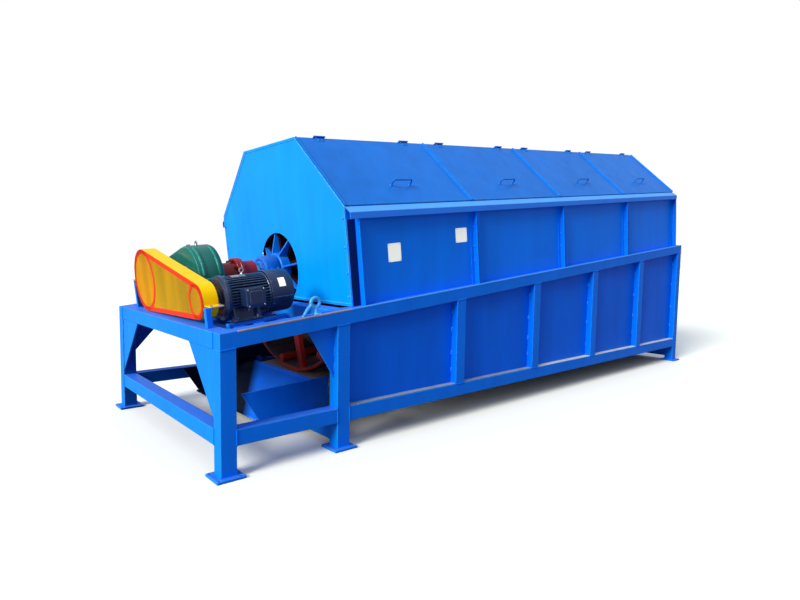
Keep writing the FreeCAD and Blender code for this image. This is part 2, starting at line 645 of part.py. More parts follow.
# Feed spout on the plate at the feed end.
spout_outer = box("spout_outer", "spout_length", "2 * (feed_half_width + sheet)", "feed_top - feed_bottom + 2 * sheet",
                  HOOD_END, "-feed_half_width - sheet", "feed_bottom - sheet")
spout_inner = box("spout_inner", "2 * spout_length", "2 * feed_half_width", "feed_top - feed_bottom",
                  HOOD_END + " - spout_length / 2", "-feed_half_width", "feed_bottom")
slope("feed_spout", cut("spout", spout_outer, spout_inner))

# Lifting eyes on the top rails, just before the hood.
eye = across("eye_round", "lug_radius", "lug_thickness",
             "lug_place", "(tube - lug_thickness - frame_width) / 2", "lug_height")
eye_foot = box("eye_foot", "2 * lug_radius", "lug_thickness", "lug_height",
               "lug_place - lug_radius", "(tube - lug_thickness - frame_width) / 2", "0")
eye_hole = across("eye_hole", "lug_hole", "2 * lug_thickness",
                  "lug_place", "(tube - 2 * lug_thickness - frame_width) / 2", "lug_height")
slope("lifting_lugs", both_sides("eyes", cut("eye", fuse("eye_welded", [eye, eye_foot]), eye_hole)))


# Drive: two round ends joined by straight sides make the belt line, the guard and the gear case.
def belt_face(start, first, first_radius, second, second_radius):
    """Face in the plane s = start round two circles and their outer tangents; centres are (y, n)."""
    reach = math.hypot(second[0] - first[0], second[1] - first[1])
    along = Vector(0, (second[0] - first[0]) / reach, (second[1] - first[1]) / reach)
    lean = math.acos((first_radius - second_radius) / reach)
    upper = Vector(0, 0, 0) + along * math.cos(lean) + Vector(0, -along.z, along.y) * math.sin(lean)
    lower = Vector(0, 0, 0) + along * math.cos(lean) - Vector(0, -along.z, along.y) * math.sin(lean)
    one = Vector(start, first[0], first[1])
    two = Vector(start, second[0], second[1])
    edges = [
        Part.LineSegment(one + upper * first_radius, two + upper * second_radius).toShape(),
        Part.Arc(two + upper * second_radius, two + along * second_radius, two + lower * second_radius).toShape(),
        Part.LineSegment(two + lower * second_radius, one + lower * first_radius).toShape(),
        Part.Arc(one + lower * first_radius, one - along * first_radius, one + upper * first_radius).toShape()]
    return Part.Face(Part.Wire(edges))


def belt_block(name, start, length, first, first_radius, second, second_radius):
    piece = doc.addObject("Part::Feature", name)
    face = belt_face(start, first, first_radius, second, second_radius)
    piece.Shape = face.extrude(Vector(length, 0, 0))
    return piece


LARGE = (size("gear_distance"), size("axis_height"))
SMALL = (-size("motor_side"), value_of(MOTOR_N))

case = belt_block("gear_case_round", size("reducer_start"), size("reducer_length"),
                  (0, size("axis_height")), size("reducer_radius"), LARGE, size("reducer_small"))
case_block = box("gear_case_block", "reducer_length", "gear_distance + reducer_small + case_waist",
                 "platform_drop + axis_height / 2",
                 "reducer_start", "-case_waist", "-platform_drop")
case_foot = box("gear_case_foot", "reducer_length", "gear_distance + reducer_small + reducer_radius", "case_foot",
                "reducer_start", "-reducer_radius", "-platform_drop")
case_flange = box("gear_case_flange", "reducer_length + 2 * split_lip",
                  "gear_distance + reducer_small + reducer_radius + 2 * split_reach", "split_height",
                  "reducer_start - split_lip", "-reducer_radius - split_reach", "axis_height - split_height / 2")
output_seat = rod("output_seat", "output_radius + shaft_fit", "2 * socket_depth",
                  "reducer_start + reducer_length - socket_depth", "0", "axis_height")
input_seat = rod("input_seat", "input_radius + shaft_fit", "2 * socket_depth",
                 "reducer_start - socket_depth", "gear_distance", "axis_height")
slope("reducer_housing", cut("gear_case", fuse("gear_case_solid", [case, case_block, case_foot, case_flange]),
                             group("shaft_seats", [output_seat, input_seat])))

motor = fuse("motor_solid", [
    rod("motor_body", "motor_radius", "motor_length", "motor_start", "-motor_side", MOTOR_N),
    rod("motor_bell", "cowl_radius", "socket_depth", "motor_start + bell_place", "-motor_side", MOTOR_N),
    box("motor_feet", "motor_foot_run", "foot_spread", "motor_foot_height",
        "motor_start + motor_foot_place", "-motor_side - foot_spread / 2", "slide_height - platform_drop"),
    box("motor_web", "motor_foot_run", "motor_web_width", "motor_web_height",
        "motor_start + motor_foot_place", "-motor_side - motor_web_width / 2", "slide_height - platform_drop")])
motor_seat = rod("motor_seat", "motor_shaft + shaft_fit", "2 * socket_depth",
                 "motor_start - socket_depth", "-motor_side", MOTOR_N)
slope("motor_housing", cut("motor", motor, motor_seat))
cowl = rod("cowl", "cowl_radius", "cowl_length", "motor_start + motor_length", "-motor_side", MOTOR_N)
slope("motor_cowl", cowl)

box_block = box("box_block", "box_side", "box_reach + box_root", "box_side",
                "motor_start + motor_length / 2 - box_side / 2",
                "-motor_side - motor_radius - box_reach", MOTOR_N + " - box_side / 2")
box_cut = rod("box_cut", "motor_radius + seat", "motor_length", "motor_start", "-motor_side", MOTOR_N)
slope("terminal_box", cut("terminal", box_block, box_cut))

slides = [box("slide%d" % end, "motor_length + platform_beam + slide_tail", "slide_width", "slide_height",
              "motor_start", "-motor_side + %d * (foot_spread - slide_width) / 2 - slide_width / 2" % side,
              "-platform_drop")
          for end, side in enumerate((-1, 1))]
slope("motor_rails", group("slides", slides))

# Bearings of the drum shaft on stands over the two cross beams at the ends of the hood.
BEARING_BEAMS = (("front", FRONT_BEAM), ("rear", REAR_BEAM))
stands = []
for name, beam in BEARING_BEAMS:
    stands.append(box(name + "_stand", "tube", "bearing_foot + 2 * stand_margin", "stand_height",
                      beam, "-bearing_foot / 2 - stand_margin", "0"))
    start = "(%s + tube / 2 - bearing_length / 2)" % beam
    housing = fuse(name + "_bearing_solid", [
        box(name + "_bearing_foot", "bearing_length", "bearing_foot", "bearing_base",
            start, "-bearing_foot / 2", "stand_height"),
        box(name + "_bearing_block", "bearing_length", "2 * bearing_radius", "axis_height - stand_height",
            start, "-bearing_radius", "stand_height"),
        rod(name + "_bearing_cap", "bearing_radius", "bearing_length", start, "0", "axis_height")])
    bore = rod(name + "_bearing_bore", "shaft_radius + shaft_fit", "2 * bearing_length",
               start + " - bearing_length / 2", "0", "axis_height")
    slope(name + "_bearing", cut(name + "_bearing_bored", housing, bore))
slope("bearing_stands", group("stands", stands))

# Belt guard: a band round both pulleys, a mesh face and a flat rim in front of it, held by two posts.
band_outer = belt_block("band_outer", size("guard_start"), size("guard_depth"),
                        LARGE, size("guard_large"), SMALL, size("guard_small"))
band_inner = belt_block("band_inner", size("guard_start") - size("guard_depth") / 2, 2 * size("guard_depth"),
                        LARGE, size("guard_large") - size("guard_sheet"),
                        SMALL, size("guard_small") - size("guard_sheet"))
band = cut("band", band_outer, band_inner)
TAB_RIGHT = "motor_side + guard_small - guard_sheet"
TAB_RUN = "bracket_place + tab_length - guard_start"
right_tab = box("right_tab", TAB_RUN, "bracket_right + bracket_size / 2 - (%s)" % TAB_RIGHT, "tab_thickness",
                "guard_start", "-bracket_right - bracket_size / 2", "bracket_height")
TAB_LEFT = "gear_distance + guard_large - guard_sheet"
left_tab = box("left_tab", TAB_RUN, "bracket_left + bracket_size / 2 - (%s)" % TAB_LEFT, "tab_thickness",
               "guard_start", TAB_LEFT, "bracket_tall")
slope("belt_guard", fuse("guard", [band, right_tab, left_tab]))

mesh = belt_block("guard_face", size("guard_start") - size("guard_sheet"), size("guard_sheet"),
                  LARGE, size("guard_large"), SMALL, size("guard_small"))
slope("guard_mesh", mesh)

RIM_START = "guard_start - 2 * guard_sheet"
rim_outer = belt_block("rim_outer", value_of(RIM_START), size("guard_sheet"),
                       LARGE, size("guard_large"), SMALL, size("guard_small"))
rim_inner = belt_block("rim_inner", value_of(RIM_START) - size("guard_sheet"), 3 * size("guard_sheet"),
                       LARGE, size("guard_large") - size("rim_width"),
                       SMALL, size("guard_small") - size("rim_width"))
rim_rings = []
for name, radius, side, height in (("large", "guard_large", "gear_distance", "axis_height"),
                                   ("small", "guard_small", "-motor_side", MOTOR_N)):
    disc = rod(name + "_disc", radius, "guard_sheet", RIM_START, side, height)
    eye = rod(name + "_disc_eye", radius + " - rim_width", "3 * guard_sheet",
              "guard_start - 3 * guard_sheet", side, height)
    rim_rings.append(cut(name + "_ring", disc, eye))
slope("guard_rim", fuse("rim", [cut("rim_band", rim_outer, rim_inner)] + rim_rings))

brackets = []
for name, start, place, height in (
        ("right", "bracket_place", "-bracket_right - bracket_size / 2", "bracket_height"),
        ("left", "bracket_set_back", "bracket_left - bracket_size / 2", "bracket_tall")):
    post = box(name + "_bracket_post", "tab_thickness", "bracket_size", height, start, place, "0")
    web = box(name + "_bracket_web", "bracket_size", "tab_thickness", height, start, place, "0")
    arm = box(name + "_bracket_arm", "bracket_place + tab_length - " + start, "bracket_size", "tab_thickness",
              start, place, height + " - tab_thickness")
    brackets.append(fuse(name + "_bracket", [post, web, arm]))
slope("guard_brackets", group("bracket_pair", brackets))

# Pulleys on their shafts, and the belts that run round them.
PULLEY_START = "(guard_start + (guard_depth - pulley_length) / 2)"
SHAFT_NOSE = "(%s - seat)" % PULLEY_START
slope("large_pulley", fuse("input_set", [
    rod("large_wheel", "pulley_large", "pulley_length", PULLEY_START, "gear_distance", "axis_height"),
    rod("input_shaft", "input_radius", "reducer_start + socket_depth - seat - " + SHAFT_NOSE,
        SHAFT_NOSE, "gear_distance", "axis_height")]))
slope("small_pulley", fuse("motor_set", [
    rod("small_wheel", "pulley_small", "pulley_length", PULLEY_START, "-motor_side", MOTOR_N),
    rod("motor_shaft_bar", "motor_shaft", "motor_start + socket_depth - seat - " + SHAFT_NOSE,
        SHAFT_NOSE, "-motor_side", MOTOR_N)]))
belt_outer = belt_block("belt_outer", value_of(PULLEY_START), size("pulley_length"),
                        LARGE, size("pulley_large") + size("belt_thickness"),
                        SMALL, size("pulley_small") + size("belt_thickness"))
belt_inner = belt_block("belt_inner", value_of(PULLEY_START) - size("pulley_length"), 3 * size("pulley_length"),
                        LARGE, size("pulley_large") + size("seat"), SMALL, size("pulley_small") + size("seat"))
slope("drive_belts", cut("belts", belt_outer, belt_inner))

# Coupling between the gear case and the drum shaft.
COUPLING_MIDDLE = "(coupling_start + coupling_length / 2)"
coupling = fuse("coupling_solid", [
    rod("coupling_hub", "coupling_radius", "coupling_length", "coupling_start", "0", "axis_height"),
    rod("coupling_flange", "flange_radius", "flange_length", COUPLING_MIDDLE + " - flange_length / 2",
        "0", "axis_height")])
coupling_bores = group("coupling_bores", [
    rod("coupling_bore_near", "output_radius", "coupling_length / 2 + seat",
        "coupling_start - seat", "0", "axis_height"),
    rod("coupling_bore_far", "shaft_radius", "coupling_length / 2 + seat", COUPLING_MIDDLE, "0", "axis_height")])
slope("coupling", cut("coupling_bored", coupling, coupling_bores))
output_start = "(reducer_start + reducer_length - socket_depth + seat)"
slope("output_shaft", rod("output_bar", "output_radius", "%s - %s" % (COUPLING_MIDDLE, output_start),
                          output_start, "0", "axis_height"))

# Drum: shaft, three spiders, eight long pipes, screen plates and the hoops round them.
shaft_end = "(%s + tube / 2 + bearing_length / 2 + shaft_margin)" % REAR_BEAM
slope("drum_shaft", rod("shaft_bar", "shaft_radius", "%s - %s" % (shaft_end, COUPLING_MIDDLE),
                        COUPLING_MIDDLE, "0", "axis_height"))

ARM_STEP = 360 / ARMS
ARM_TIP = "sqrt((screen_inner - seat) ^ 2 - arm_width ^ 2 / 4)"
SPIDERS = (
    ("front", "drum_start", "0"),
    ("middle", "drum_start + drum_length / 2 - hub_length / 2", "(hub_length - arm_length) / 2"),
    ("rear", "drum_start + drum_length - hub_length", "hub_length - arm_length"))
for name, start, inset in SPIDERS:
    pieces = [rod(name + "_hub", "hub_radius", "hub_length", start, "0", "axis_height")]
    for number in range(ARMS):
        arm = box("%s_arm%d" % (name, number), "arm_length", "arm_width", ARM_TIP + " - shaft_radius - seat",
                  "%s + %s" % (start, inset), "-arm_width / 2", "shaft_radius + seat")
        pieces.append(turned("%s_spoke%d" % (name, number), arm, "arm_turn + %g" % (number * ARM_STEP),
                             "0", "axis_height"))
    bore = rod(name + "_hub_bore", "shaft_radius", "2 * hub_length", start + " - hub_length / 2", "0", "axis_height")
    slope("spider_" + name, cut(name + "_spider", fuse(name + "_spider_solid", pieces), bore))

PIPE_RING = "screen_inner - seat - pipe_radius"
pipes = []
for number in range(ARMS):
    pipe = rod("pipe%d" % number, "pipe_radius", "drum_length", "drum_start", "0", PIPE_RING)
    pipes.append(turned("pipe_turned%d" % number, pipe, "arm_turn + %g" % ((number + 0.5) * ARM_STEP),
                        "0", "axis_height"))
slope("drum_pipes", group("pipes", pipes))

staves = []
for number in range(STAVES):
    stave = bind(doc.addObject("Part::Cylinder", "stave%d" % number), Radius="screen_outer", Height="drum_length",
                 Angle="%g - stave_gap" % (360 / STAVES))
    core = bind(doc.addObject("Part::Cylinder", "stave_core%d" % number), Radius="screen_inner",
                Height="drum_length")
    curved = cut("stave_cut%d" % number, stave, core)
    curved.Placement = Placement(Vector(), Rotation(Vector(0, 0, 1), number * 360 / STAVES))
    staves.append(curved)
screen = group("staves", staves)
screen.Placement = Placement(Vector(), Rotation(Vector(0, 1, 0), 90))
shift(screen, "drum_start", "0", "axis_height")
slope("drum_screen", screen)

hoops = []
for number in range(HOOPS):
    start = "drum_start + %g * (drum_length - hoop_length)" % (number / (HOOPS - 1))
    hoops.append(cut("hoop%d" % number,
                     rod("hoop_outer%d" % number, "hoop_outer", "hoop_length", start, "0", "axis_height"),
                     rod("hoop_inner%d" % number, "screen_outer + seat", "2 * hoop_length",
                         start + " - hoop_length / 2", "0", "axis_height")))
slope("drum_hoops", group("hoops", hoops))

doc.recompute()
for item in doc.Objects:
    if "Invalid" in item.State or "Error" in item.State:
        raise RuntimeError("%s failed: %s" % (item.Name, item.State))
for item in NODES:
    if item.Shape.isNull() or not item.Shape.isValid():
        raise RuntimeError("%s has no sound shape" % item.Label)
for item in NODES:
    item.Shape.exportStep("parts/%s.step" % item.Label)
print(len(NODES), "sub-parts")
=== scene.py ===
import math

import bmesh
import bpy
import numpy as np
from mathutils import Matrix, Vector


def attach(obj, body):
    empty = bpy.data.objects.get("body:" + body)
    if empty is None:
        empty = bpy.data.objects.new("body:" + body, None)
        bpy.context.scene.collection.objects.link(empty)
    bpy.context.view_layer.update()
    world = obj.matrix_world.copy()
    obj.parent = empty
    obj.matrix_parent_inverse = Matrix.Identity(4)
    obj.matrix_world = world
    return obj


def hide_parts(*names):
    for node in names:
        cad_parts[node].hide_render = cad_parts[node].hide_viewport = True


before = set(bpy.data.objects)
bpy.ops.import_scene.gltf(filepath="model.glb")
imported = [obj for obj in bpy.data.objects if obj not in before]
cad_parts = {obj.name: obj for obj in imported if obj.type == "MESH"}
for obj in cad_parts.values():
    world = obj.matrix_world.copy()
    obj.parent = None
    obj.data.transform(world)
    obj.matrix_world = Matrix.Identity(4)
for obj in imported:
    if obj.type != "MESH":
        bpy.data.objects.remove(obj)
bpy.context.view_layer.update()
scene = bpy.context.scene
scene.view_settings.view_transform = "Standard"

# The picture: a camera at the drive end, low and to the right of the machine,
# which shows the end plate of the hood and the whole long side.
camera_data = bpy.data.cameras.new("shot")
camera_data.sensor_width = 36
camera_data.lens = 24.67
camera = bpy.data.objects.new("shot", camera_data)
scene.collection.objects.link(camera)
heading, dip, roll = math.radians(48.619), math.radians(-4.588), math.radians(0.8805)
ahead = Vector((math.cos(heading) * math.cos(dip), math.sin(heading) * math.cos(dip), math.sin(dip)))
level_right = Vector((math.sin(heading), -math.cos(heading), 0))
level_up = level_right.cross(ahead)
right = level_right * math.cos(roll) + level_up * math.sin(roll)
up = level_up * math.cos(roll) - level_right * math.sin(roll)
turn = Matrix((right, up, -ahead)).transposed().to_4x4()
camera.matrix_world = Matrix.Translation((-4.488, -4.097, 1.348)) @ turn
scene.camera = camera

# The studio: a white room for what the camera sees, a softer sky for the light and the gloss,
# and one broad lamp from the drive end, a little to the right and above.
room = bpy.data.worlds.new("room")
scene.world = room
room.use_nodes = True
room.node_tree.nodes.clear()


def wire(tree, kind, links=None, **settings):
    """Adds a node; links gives its inputs, each a value or the output that feeds it."""
    made = tree.nodes.new(kind)
    for key, value in settings.items():
        setattr(made, key, value)
    for key, value in (links or {}).items():
        if isinstance(value, bpy.types.NodeSocket):
            tree.links.new(value, made.inputs[key])
        else:
            made.inputs[key].default_value = value
    return made


def calc(tree, operation, *inputs):
    """The result of one sum on numbers or outputs."""
    return wire(tree, "ShaderNodeMath", dict(enumerate(inputs)), operation=operation).outputs[0]


def ramp(tree, value, low, high, to_low=0.0, to_high=1.0):
    """A value stretched from low and high to two new limits, and held there past both."""
    return wire(tree, "ShaderNodeMapRange", {"Value": value, "From Min": low, "From Max": high,
                                             "To Min": to_low, "To Max": to_high}).outputs[0]


def blend(tree, share, one, two):
    """A colour between two colours."""
    return wire(tree, "ShaderNodeMix", {0: share, 6: one, 7: two}, data_type="RGBA").outputs[2]


def seen_by_eye(tree):
    """1 for camera and glass rays, and 0 for the rays that light the object or make its gloss."""
    path = wire(tree, "ShaderNodeLightPath").outputs
    return calc(tree, "MAXIMUM", path["Is Camera Ray"], path["Is Transmission Ray"])


air = room.node_tree
looked = wire(air, "ShaderNodeTexCoord").outputs["Generated"]
height = wire(air, "ShaderNodeSeparateXYZ", {0: looked}).outputs[2]
glow = ramp(air, height, 0.0, 1.0, 0.34, 0.85)
sky = wire(air, "ShaderNodeBackground", {"Color": (0.84, 0.93, 1, 1), "Strength": glow})
white = wire(air, "ShaderNodeBackground", {"Color": (1, 1, 1, 1), "Strength": 1.0})
either = wire(air, "ShaderNodeMixShader", {0: seen_by_eye(air), 1: sky.outputs[0], 2: white.outputs[0]})
wire(air, "ShaderNodeOutputWorld", {"Surface": either.outputs[0]})

lamp_data = bpy.data.lights.new("window_wall", "SUN")
lamp_data.energy = 4.1
lamp_data.angle = math.radians(24)
lamp_data.color = (1, 0.98, 0.86)
lamp = bpy.data.objects.new("window_wall", lamp_data)
lamp.rotation_mode = "QUATERNION"
lamp.rotation_quaternion = Vector((0.86, 0.13, -0.49)).to_track_quat("-Z", "Y")
scene.collection.objects.link(lamp)

floor_mesh = bpy.data.meshes.new("floor")
floor_mesh.from_pydata([(-90, -90, 0), (90, -90, 0), (90, 90, 0), (-90, 90, 0)], [], [(0, 1, 2, 3)])
floor = bpy.data.objects.new("floor", floor_mesh)
scene.collection.objects.link(floor)
concrete = bpy.data.materials.new("pale_floor")
concrete.use_nodes = True
concrete.node_tree.nodes.clear()
slab = concrete.node_tree
floor_tone = blend(slab, seen_by_eye(slab), (0.24, 0.25, 0.26, 1), (0.97, 0.97, 0.97, 1))
floor_skin = wire(slab, "ShaderNodeBsdfDiffuse", {"Color": floor_tone})
wire(slab, "ShaderNodeOutputMaterial", {"Surface": floor_skin.outputs[0]})
floor_mesh.materials.append(concrete)

# Sprayed steel: every welded part of the machine is sprayed with gloss enamel.
# The film has orange peel, slow waves of the thin sheet under it, drifts of shade, settled dust
# and edges where it has pulled thin or been rubbed pale, lightened in patches that are partly wear and partly
# a painted highlight.
# Faces that look to the drive end are painted a lighter, greener blue as painted light, and inner faces are
# painted darker as painted shade.


def group_of(name, inputs, outputs):
    """An empty node group with these inputs and outputs, each a name and a kind of socket."""
    made = bpy.data.node_groups.new(name, "ShaderNodeTree")
    for sockets, way in ((inputs, "INPUT"), (outputs, "OUTPUT")):
        for socket, kind in sockets.items():
            made.interface.new_socket(socket, in_out=way, socket_type="NodeSocket" + kind)
    return made


SPRAY = group_of("sprayed film",
                 {"Colour": "Color", "Lit end colour": "Color", "Edge colour": "Color", "Edge width": "Float",
                  "Drift": "Float", "Dust": "Float", "Waves": "Float", "Inside": "Float"},
                 {"Colour": "Color", "Roughness": "Float", "Normal": "Vector"})


def noise(tree, place, scale, detail, rough=0.5):
    """Soft noise from 0 to 1 over a place."""
    return wire(tree, "ShaderNodeTexNoise", {"Vector": place, "Scale": scale, "Detail": detail,
                                             "Roughness": rough}).outputs["Fac"]


def scaled(tree, colour, share):
    """A colour multiplied by a share."""
    return wire(tree, "ShaderNodeVectorMath", {0: colour, "Scale": share}, operation="SCALE").outputs[0]


def fill_spray(tree):
    """Shade drifts multiply the colour; the rounded normal against the flat one finds the edges.

    Faces that look to the drive end there take the lit end colour, painted light from the lamp,
    and faces whose normal leans towards the middle plane of the machine are darkened as painted shade.
    """
    given = wire(tree, "NodeGroupInput").outputs
    place = wire(tree, "ShaderNodeTexCoord").outputs
    facing = wire(tree, "ShaderNodeSeparateXYZ", {0: place["Normal"]}).outputs
    spot = wire(tree, "ShaderNodeSeparateXYZ", {0: place["Object"]}).outputs
    # Painted light: faces that look to the drive end, near that end, take the lighter lit colour.
    lit_end_share = calc(tree, "MULTIPLY", ramp(tree, facing[0], -0.4, -0.9), ramp(tree, spot[0], -2.0, -2.2))
    lit_or_plain_colour = blend(tree, lit_end_share, given["Colour"], given["Lit end colour"])
    # Painted shade: faces whose normal leans towards the middle plane are darkened by the inside share.
    lean = calc(tree, "MULTIPLY", facing[1], spot[1])
    inner_shade = calc(tree, "MULTIPLY", ramp(tree, lean, -0.4, -0.8), given["Inside"])
    cloud = noise(tree, place["Object"], 1.3, 5.0)
    drawn = wire(tree, "ShaderNodeMapping", {"Vector": place["Object"], "Scale": (9, 9, 0.7)}).outputs[0]
    spread = ramp(tree, calc(tree, "ADD", cloud, noise(tree, drawn, 1.0, 3.0)), 0.7, 1.3, -1.0, 1.0)
    gain = calc(tree, "MULTIPLY_ADD", spread, given["Drift"], 1.0)
    drifted_and_shaded = scaled(tree, lit_or_plain_colour, calc(tree, "MULTIPLY", gain, calc(tree, "SUBTRACT", 1.0, inner_shade)))
    # The edge colour is partly rubbed paint and partly a painted highlight along the edges.
    rounded = wire(tree, "ShaderNodeBevel", {"Radius": given["Edge width"]}, samples=4).outputs[0]
    flat = wire(tree, "ShaderNodeNewGeometry").outputs["Normal"]
    same = wire(tree, "ShaderNodeVectorMath", {0: rounded, 1: flat},
                operation="DOT_PRODUCT").outputs["Value"]
    chip = ramp(tree, noise(tree, place["Object"], 34.0, 4.0), 0.38, 0.6, 0.35, 1.0)
    rub_and_highlight = calc(tree, "MULTIPLY", ramp(tree, same, 0.985, 0.9, 0.0, 0.8), chip)
    rubbed_and_highlit = blend(tree, rub_and_highlight, drifted_and_shaded, given["Edge colour"])
    grains = noise(tree, place["Object"], 11.0, 7.0, 0.7)
    settled = calc(tree, "MULTIPLY", ramp(tree, facing[2], 0.55, 0.98), grains)
    dusty = calc(tree, "MULTIPLY", settled, given["Dust"])
    dusted = blend(tree, dusty, rubbed_and_highlit, (0.42, 0.43, 0.48, 1))
    rough = calc(tree, "MULTIPLY_ADD", dusty, 0.8, ramp(tree, grains, 0.3, 0.7, 0.3, 0.42))
    slow = noise(tree, place["Object"], 3.2, 1.0)
    sagging = wire(tree, "ShaderNodeBump", {"Strength": given["Waves"], "Distance": 0.02, "Height": slow,
                                            "Normal": rounded}).outputs[0]
    fine = noise(tree, place["Object"], 190.0, 2.0)
    peel = wire(tree, "ShaderNodeBump", {"Strength": 0.25, "Distance": 0.0006, "Height": fine,
                                         "Normal": sagging}).outputs[0]
    wire(tree, "NodeGroupOutput", {"Colour": dusted, "Roughness": rough, "Normal": peel})


fill_spray(SPRAY)


def plain(name):
    """A new material with its shader node."""
    material = bpy.data.materials.new(name)
    material.use_nodes = True
    return material, material.node_tree, material.node_tree.nodes["Principled BSDF"]


def coat_with(material, group, **given):
    """Feeds the shader its colour, roughness and normal from a node group."""
    film = wire(material.node_tree, "ShaderNodeGroup", given, node_tree=group)
    skin = material.node_tree.nodes["Principled BSDF"]
    for key, output in (("Base Color", "Colour"), ("Roughness", "Roughness"), ("Normal", "Normal")):
        material.node_tree.links.new(film.outputs[output], skin.inputs[key])


def enamel(name, colour, edge, drift=0.08, dust=0.06, waves=0.25, coat=0.0, width=0.004, gloss=0.22,
           end=None, inside=0.0):
    """A sprayed gloss enamel."""
    # end is the lit colour of faces that look to the drive end: painted light.
    material, tree, skin = plain(name)
    # inside is the share of painted shade on faces turned to the inside.
    coat_with(material, SPRAY, **{"Colour": (*colour, 1), "Lit end colour": (*(end or colour), 1),
                                  "Edge colour": (*edge, 1), "Edge width": width, "Drift": drift,
                                  "Dust": dust, "Waves": waves, "Inside": inside})
    skin.inputs["Coat Weight"].default_value = coat
    skin.inputs["Coat Roughness"].default_value = 0.12
    skin.inputs["Specular IOR Level"].default_value = gloss
    return material


def dress(material, *nodes):
    """Gives parts of the frame their finish."""
    for node in nodes:
        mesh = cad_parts[node].data
        mesh.materials.clear()
        mesh.materials.append(material)


# Frame: square steel tube, sawn and welded, sprayed azure after welding.
# Legs stand on square plates, and flat corner plates stiffen the drive end.
# Both blues turn lighter and greener on faces that look to the drive end, as painted light; the frame's inner
# faces are darkened as painted shade.
frame_blue = enamel("frame_blue", (0.0, 0.155, 0.87), (0.06, 0.42, 1.0), dust=0.16, width=0.009,
                    gloss=0.12, end=(0.0, 0.225, 0.92), inside=0.6)
weld_blue = enamel("weld_blue", (0.0, 0.155, 0.85), (0.0, 0.155, 0.85), dust=0.0, waves=0.0, gloss=0.12,
                   end=(0.0, 0.225, 0.92))
dress(frame_blue, "foot_plates", "legs", "bottom_rails", "frame_posts", "low_ties", "top_rails",
      "cross_beams", "platform_beams", "gusset_plates", "guard_brackets", "motor_rails", "bearing_stands")

SLOPE = math.radians(6)
DRIVE_END, RAIL_TOP, LENGTH, TUBE, SIDE = -3.19, 0.88, 6.38, 0.1, 1.05


def level(points):
    """Row frame places of points (x from the drive end, y, height)."""
    return np.asarray(points, float) + (DRIVE_END, 0, 0)


def tip(points):
    """Row frame places of points (along, across, square to) the sloping rails."""
    s, y, n = np.moveaxis(np.asarray(points, float), -1, 0)
    return np.stack([DRIVE_END + s * math.cos(SLOPE) - n * math.sin(SLOPE), y,
                     RAIL_TOP + s * math.sin(SLOPE) + n * math.cos(SLOPE)], -1)


def skin_of(points, ring=True, caps=True, loop=False):
    """Faces over a grid: row i meets row i + 1 and column j meets column j + 1.

    A ring closes the columns, a loop closes the rows, and caps fill the first and last row.
    """
    rows, columns = points.shape[:2]
    index = np.arange(rows * columns).reshape(rows, columns)
    if ring:
        index = np.concatenate([index, index[:, :1]], 1)
    if loop:
        index = np.concatenate([index, index[:1]], 0)
    corners = np.stack([index[:-1, :-1], index[:-1, 1:], index[1:, 1:], index[1:, :-1]], -1)
    faces = corners.reshape(-1, 4).tolist()
    if caps and ring and not loop:
        faces += [list(range(columns)), list(range((rows - 1) * columns, rows * columns))]
    return points.reshape(-1, 3), faces


def carried(outline, path, up, loop=False, caps=True):
    """An outline (side, top) carried along a path: point = path + side * across + top * rise.

    Across is up x direction and rise is direction x across, at each point of the path.
    """
    path, outline = np.asarray(path, float), np.asarray(outline, float)
    if loop:
        direction = np.roll(path, -1, 0) - np.roll(path, 1, 0)
    else:
        direction = np.gradient(path, axis=0)
    direction /= np.linalg.norm(direction, axis=1, keepdims=True)
    across = np.cross(np.asarray(up, float), direction)
    across /= np.linalg.norm(across, axis=1, keepdims=True)
    rise = np.cross(direction, across)
    points = path[:, None] + outline[None, :, :1] * across[:, None] + outline[None, :, 1:] * rise[:, None]
    return skin_of(points, loop=loop, caps=caps)


def circle(radius, sides):
    """Points of a circle: radius times (cos, sin) of evenly spaced angles."""
    angle = np.arange(sides) * 2 * math.pi / sides
    return radius * np.stack([np.cos(angle), np.sin(angle)], -1)


def weld(start, end, radius=0.005):
    """A bead between two places: a circle whose radius swells and shrinks every 9 mm along the way."""
    start, end = np.asarray(start, float), np.asarray(end, float)
    length = np.linalg.norm(end - start)
    steps = max(4, int(length / 0.0045))
    share = np.linspace(0, 1, steps)[:, None]
    path = start + (end - start) * share
    along = (end - start) / length
    side = np.cross(along, (0.31, 0.52, 0.8))
    side /= np.linalg.norm(side)
    rise = np.cross(along, side)
    swell = radius * (1 + 0.22 * np.sin(share * length / 0.009 * 2 * math.pi))
    ring = circle(1.0, 6)
    points = path[:, None] + (ring[None, :, :1] * side + ring[None, :, 1:] * rise) * swell[:, None]
    return skin_of(points)


def piece(name, shells, body, material, place=None, bend=32, stands_for=()):
    """Joins shells into one object, turns its faces outwards and rides it on a body."""
    corners, faces, count = [], [], 0
    for points, sides in shells:
        corners.append(points)
        faces += [[corner + count for corner in side] for side in sides]
        count += len(points)
    corners = np.concatenate(corners)
    if place:
        corners = place(corners)
    mesh = bpy.data.meshes.new(name)
    mesh.from_pydata(corners.tolist(), [], faces)
    work = bmesh.new()
    work.from_mesh(mesh)
    bmesh.ops.remove_doubles(work, verts=work.verts, dist=1e-6)
    bmesh.ops.recalc_face_normals(work, faces=work.faces)
    work.to_mesh(mesh)
    work.free()
    mesh.polygons.foreach_set("use_smooth", [True] * len(mesh.polygons))
    mesh.set_sharp_from_angle(angle=math.radians(bend))
    mesh.materials.append(material)
    made = bpy.data.objects.new(name, mesh)
    scene.collection.objects.link(made)
    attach(made, body)
    if stands_for:
        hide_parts(*stands_for)
    return made


def rail_under(x):
    """Height of the underside of the sloping top rails."""
    return RAIL_TOP - TUBE / math.cos(SLOPE) + x * math.tan(SLOPE)


def square_seam(x0, x1, y0, y1, z):
    """Four beads round a tube that stands on a flat face."""
    ring = [(x0, y0, z), (x1, y0, z), (x1, y1, z), (x0, y1, z)]
    return [weld(ring[i], ring[(i + 1) % 4]) for i in range(4)]


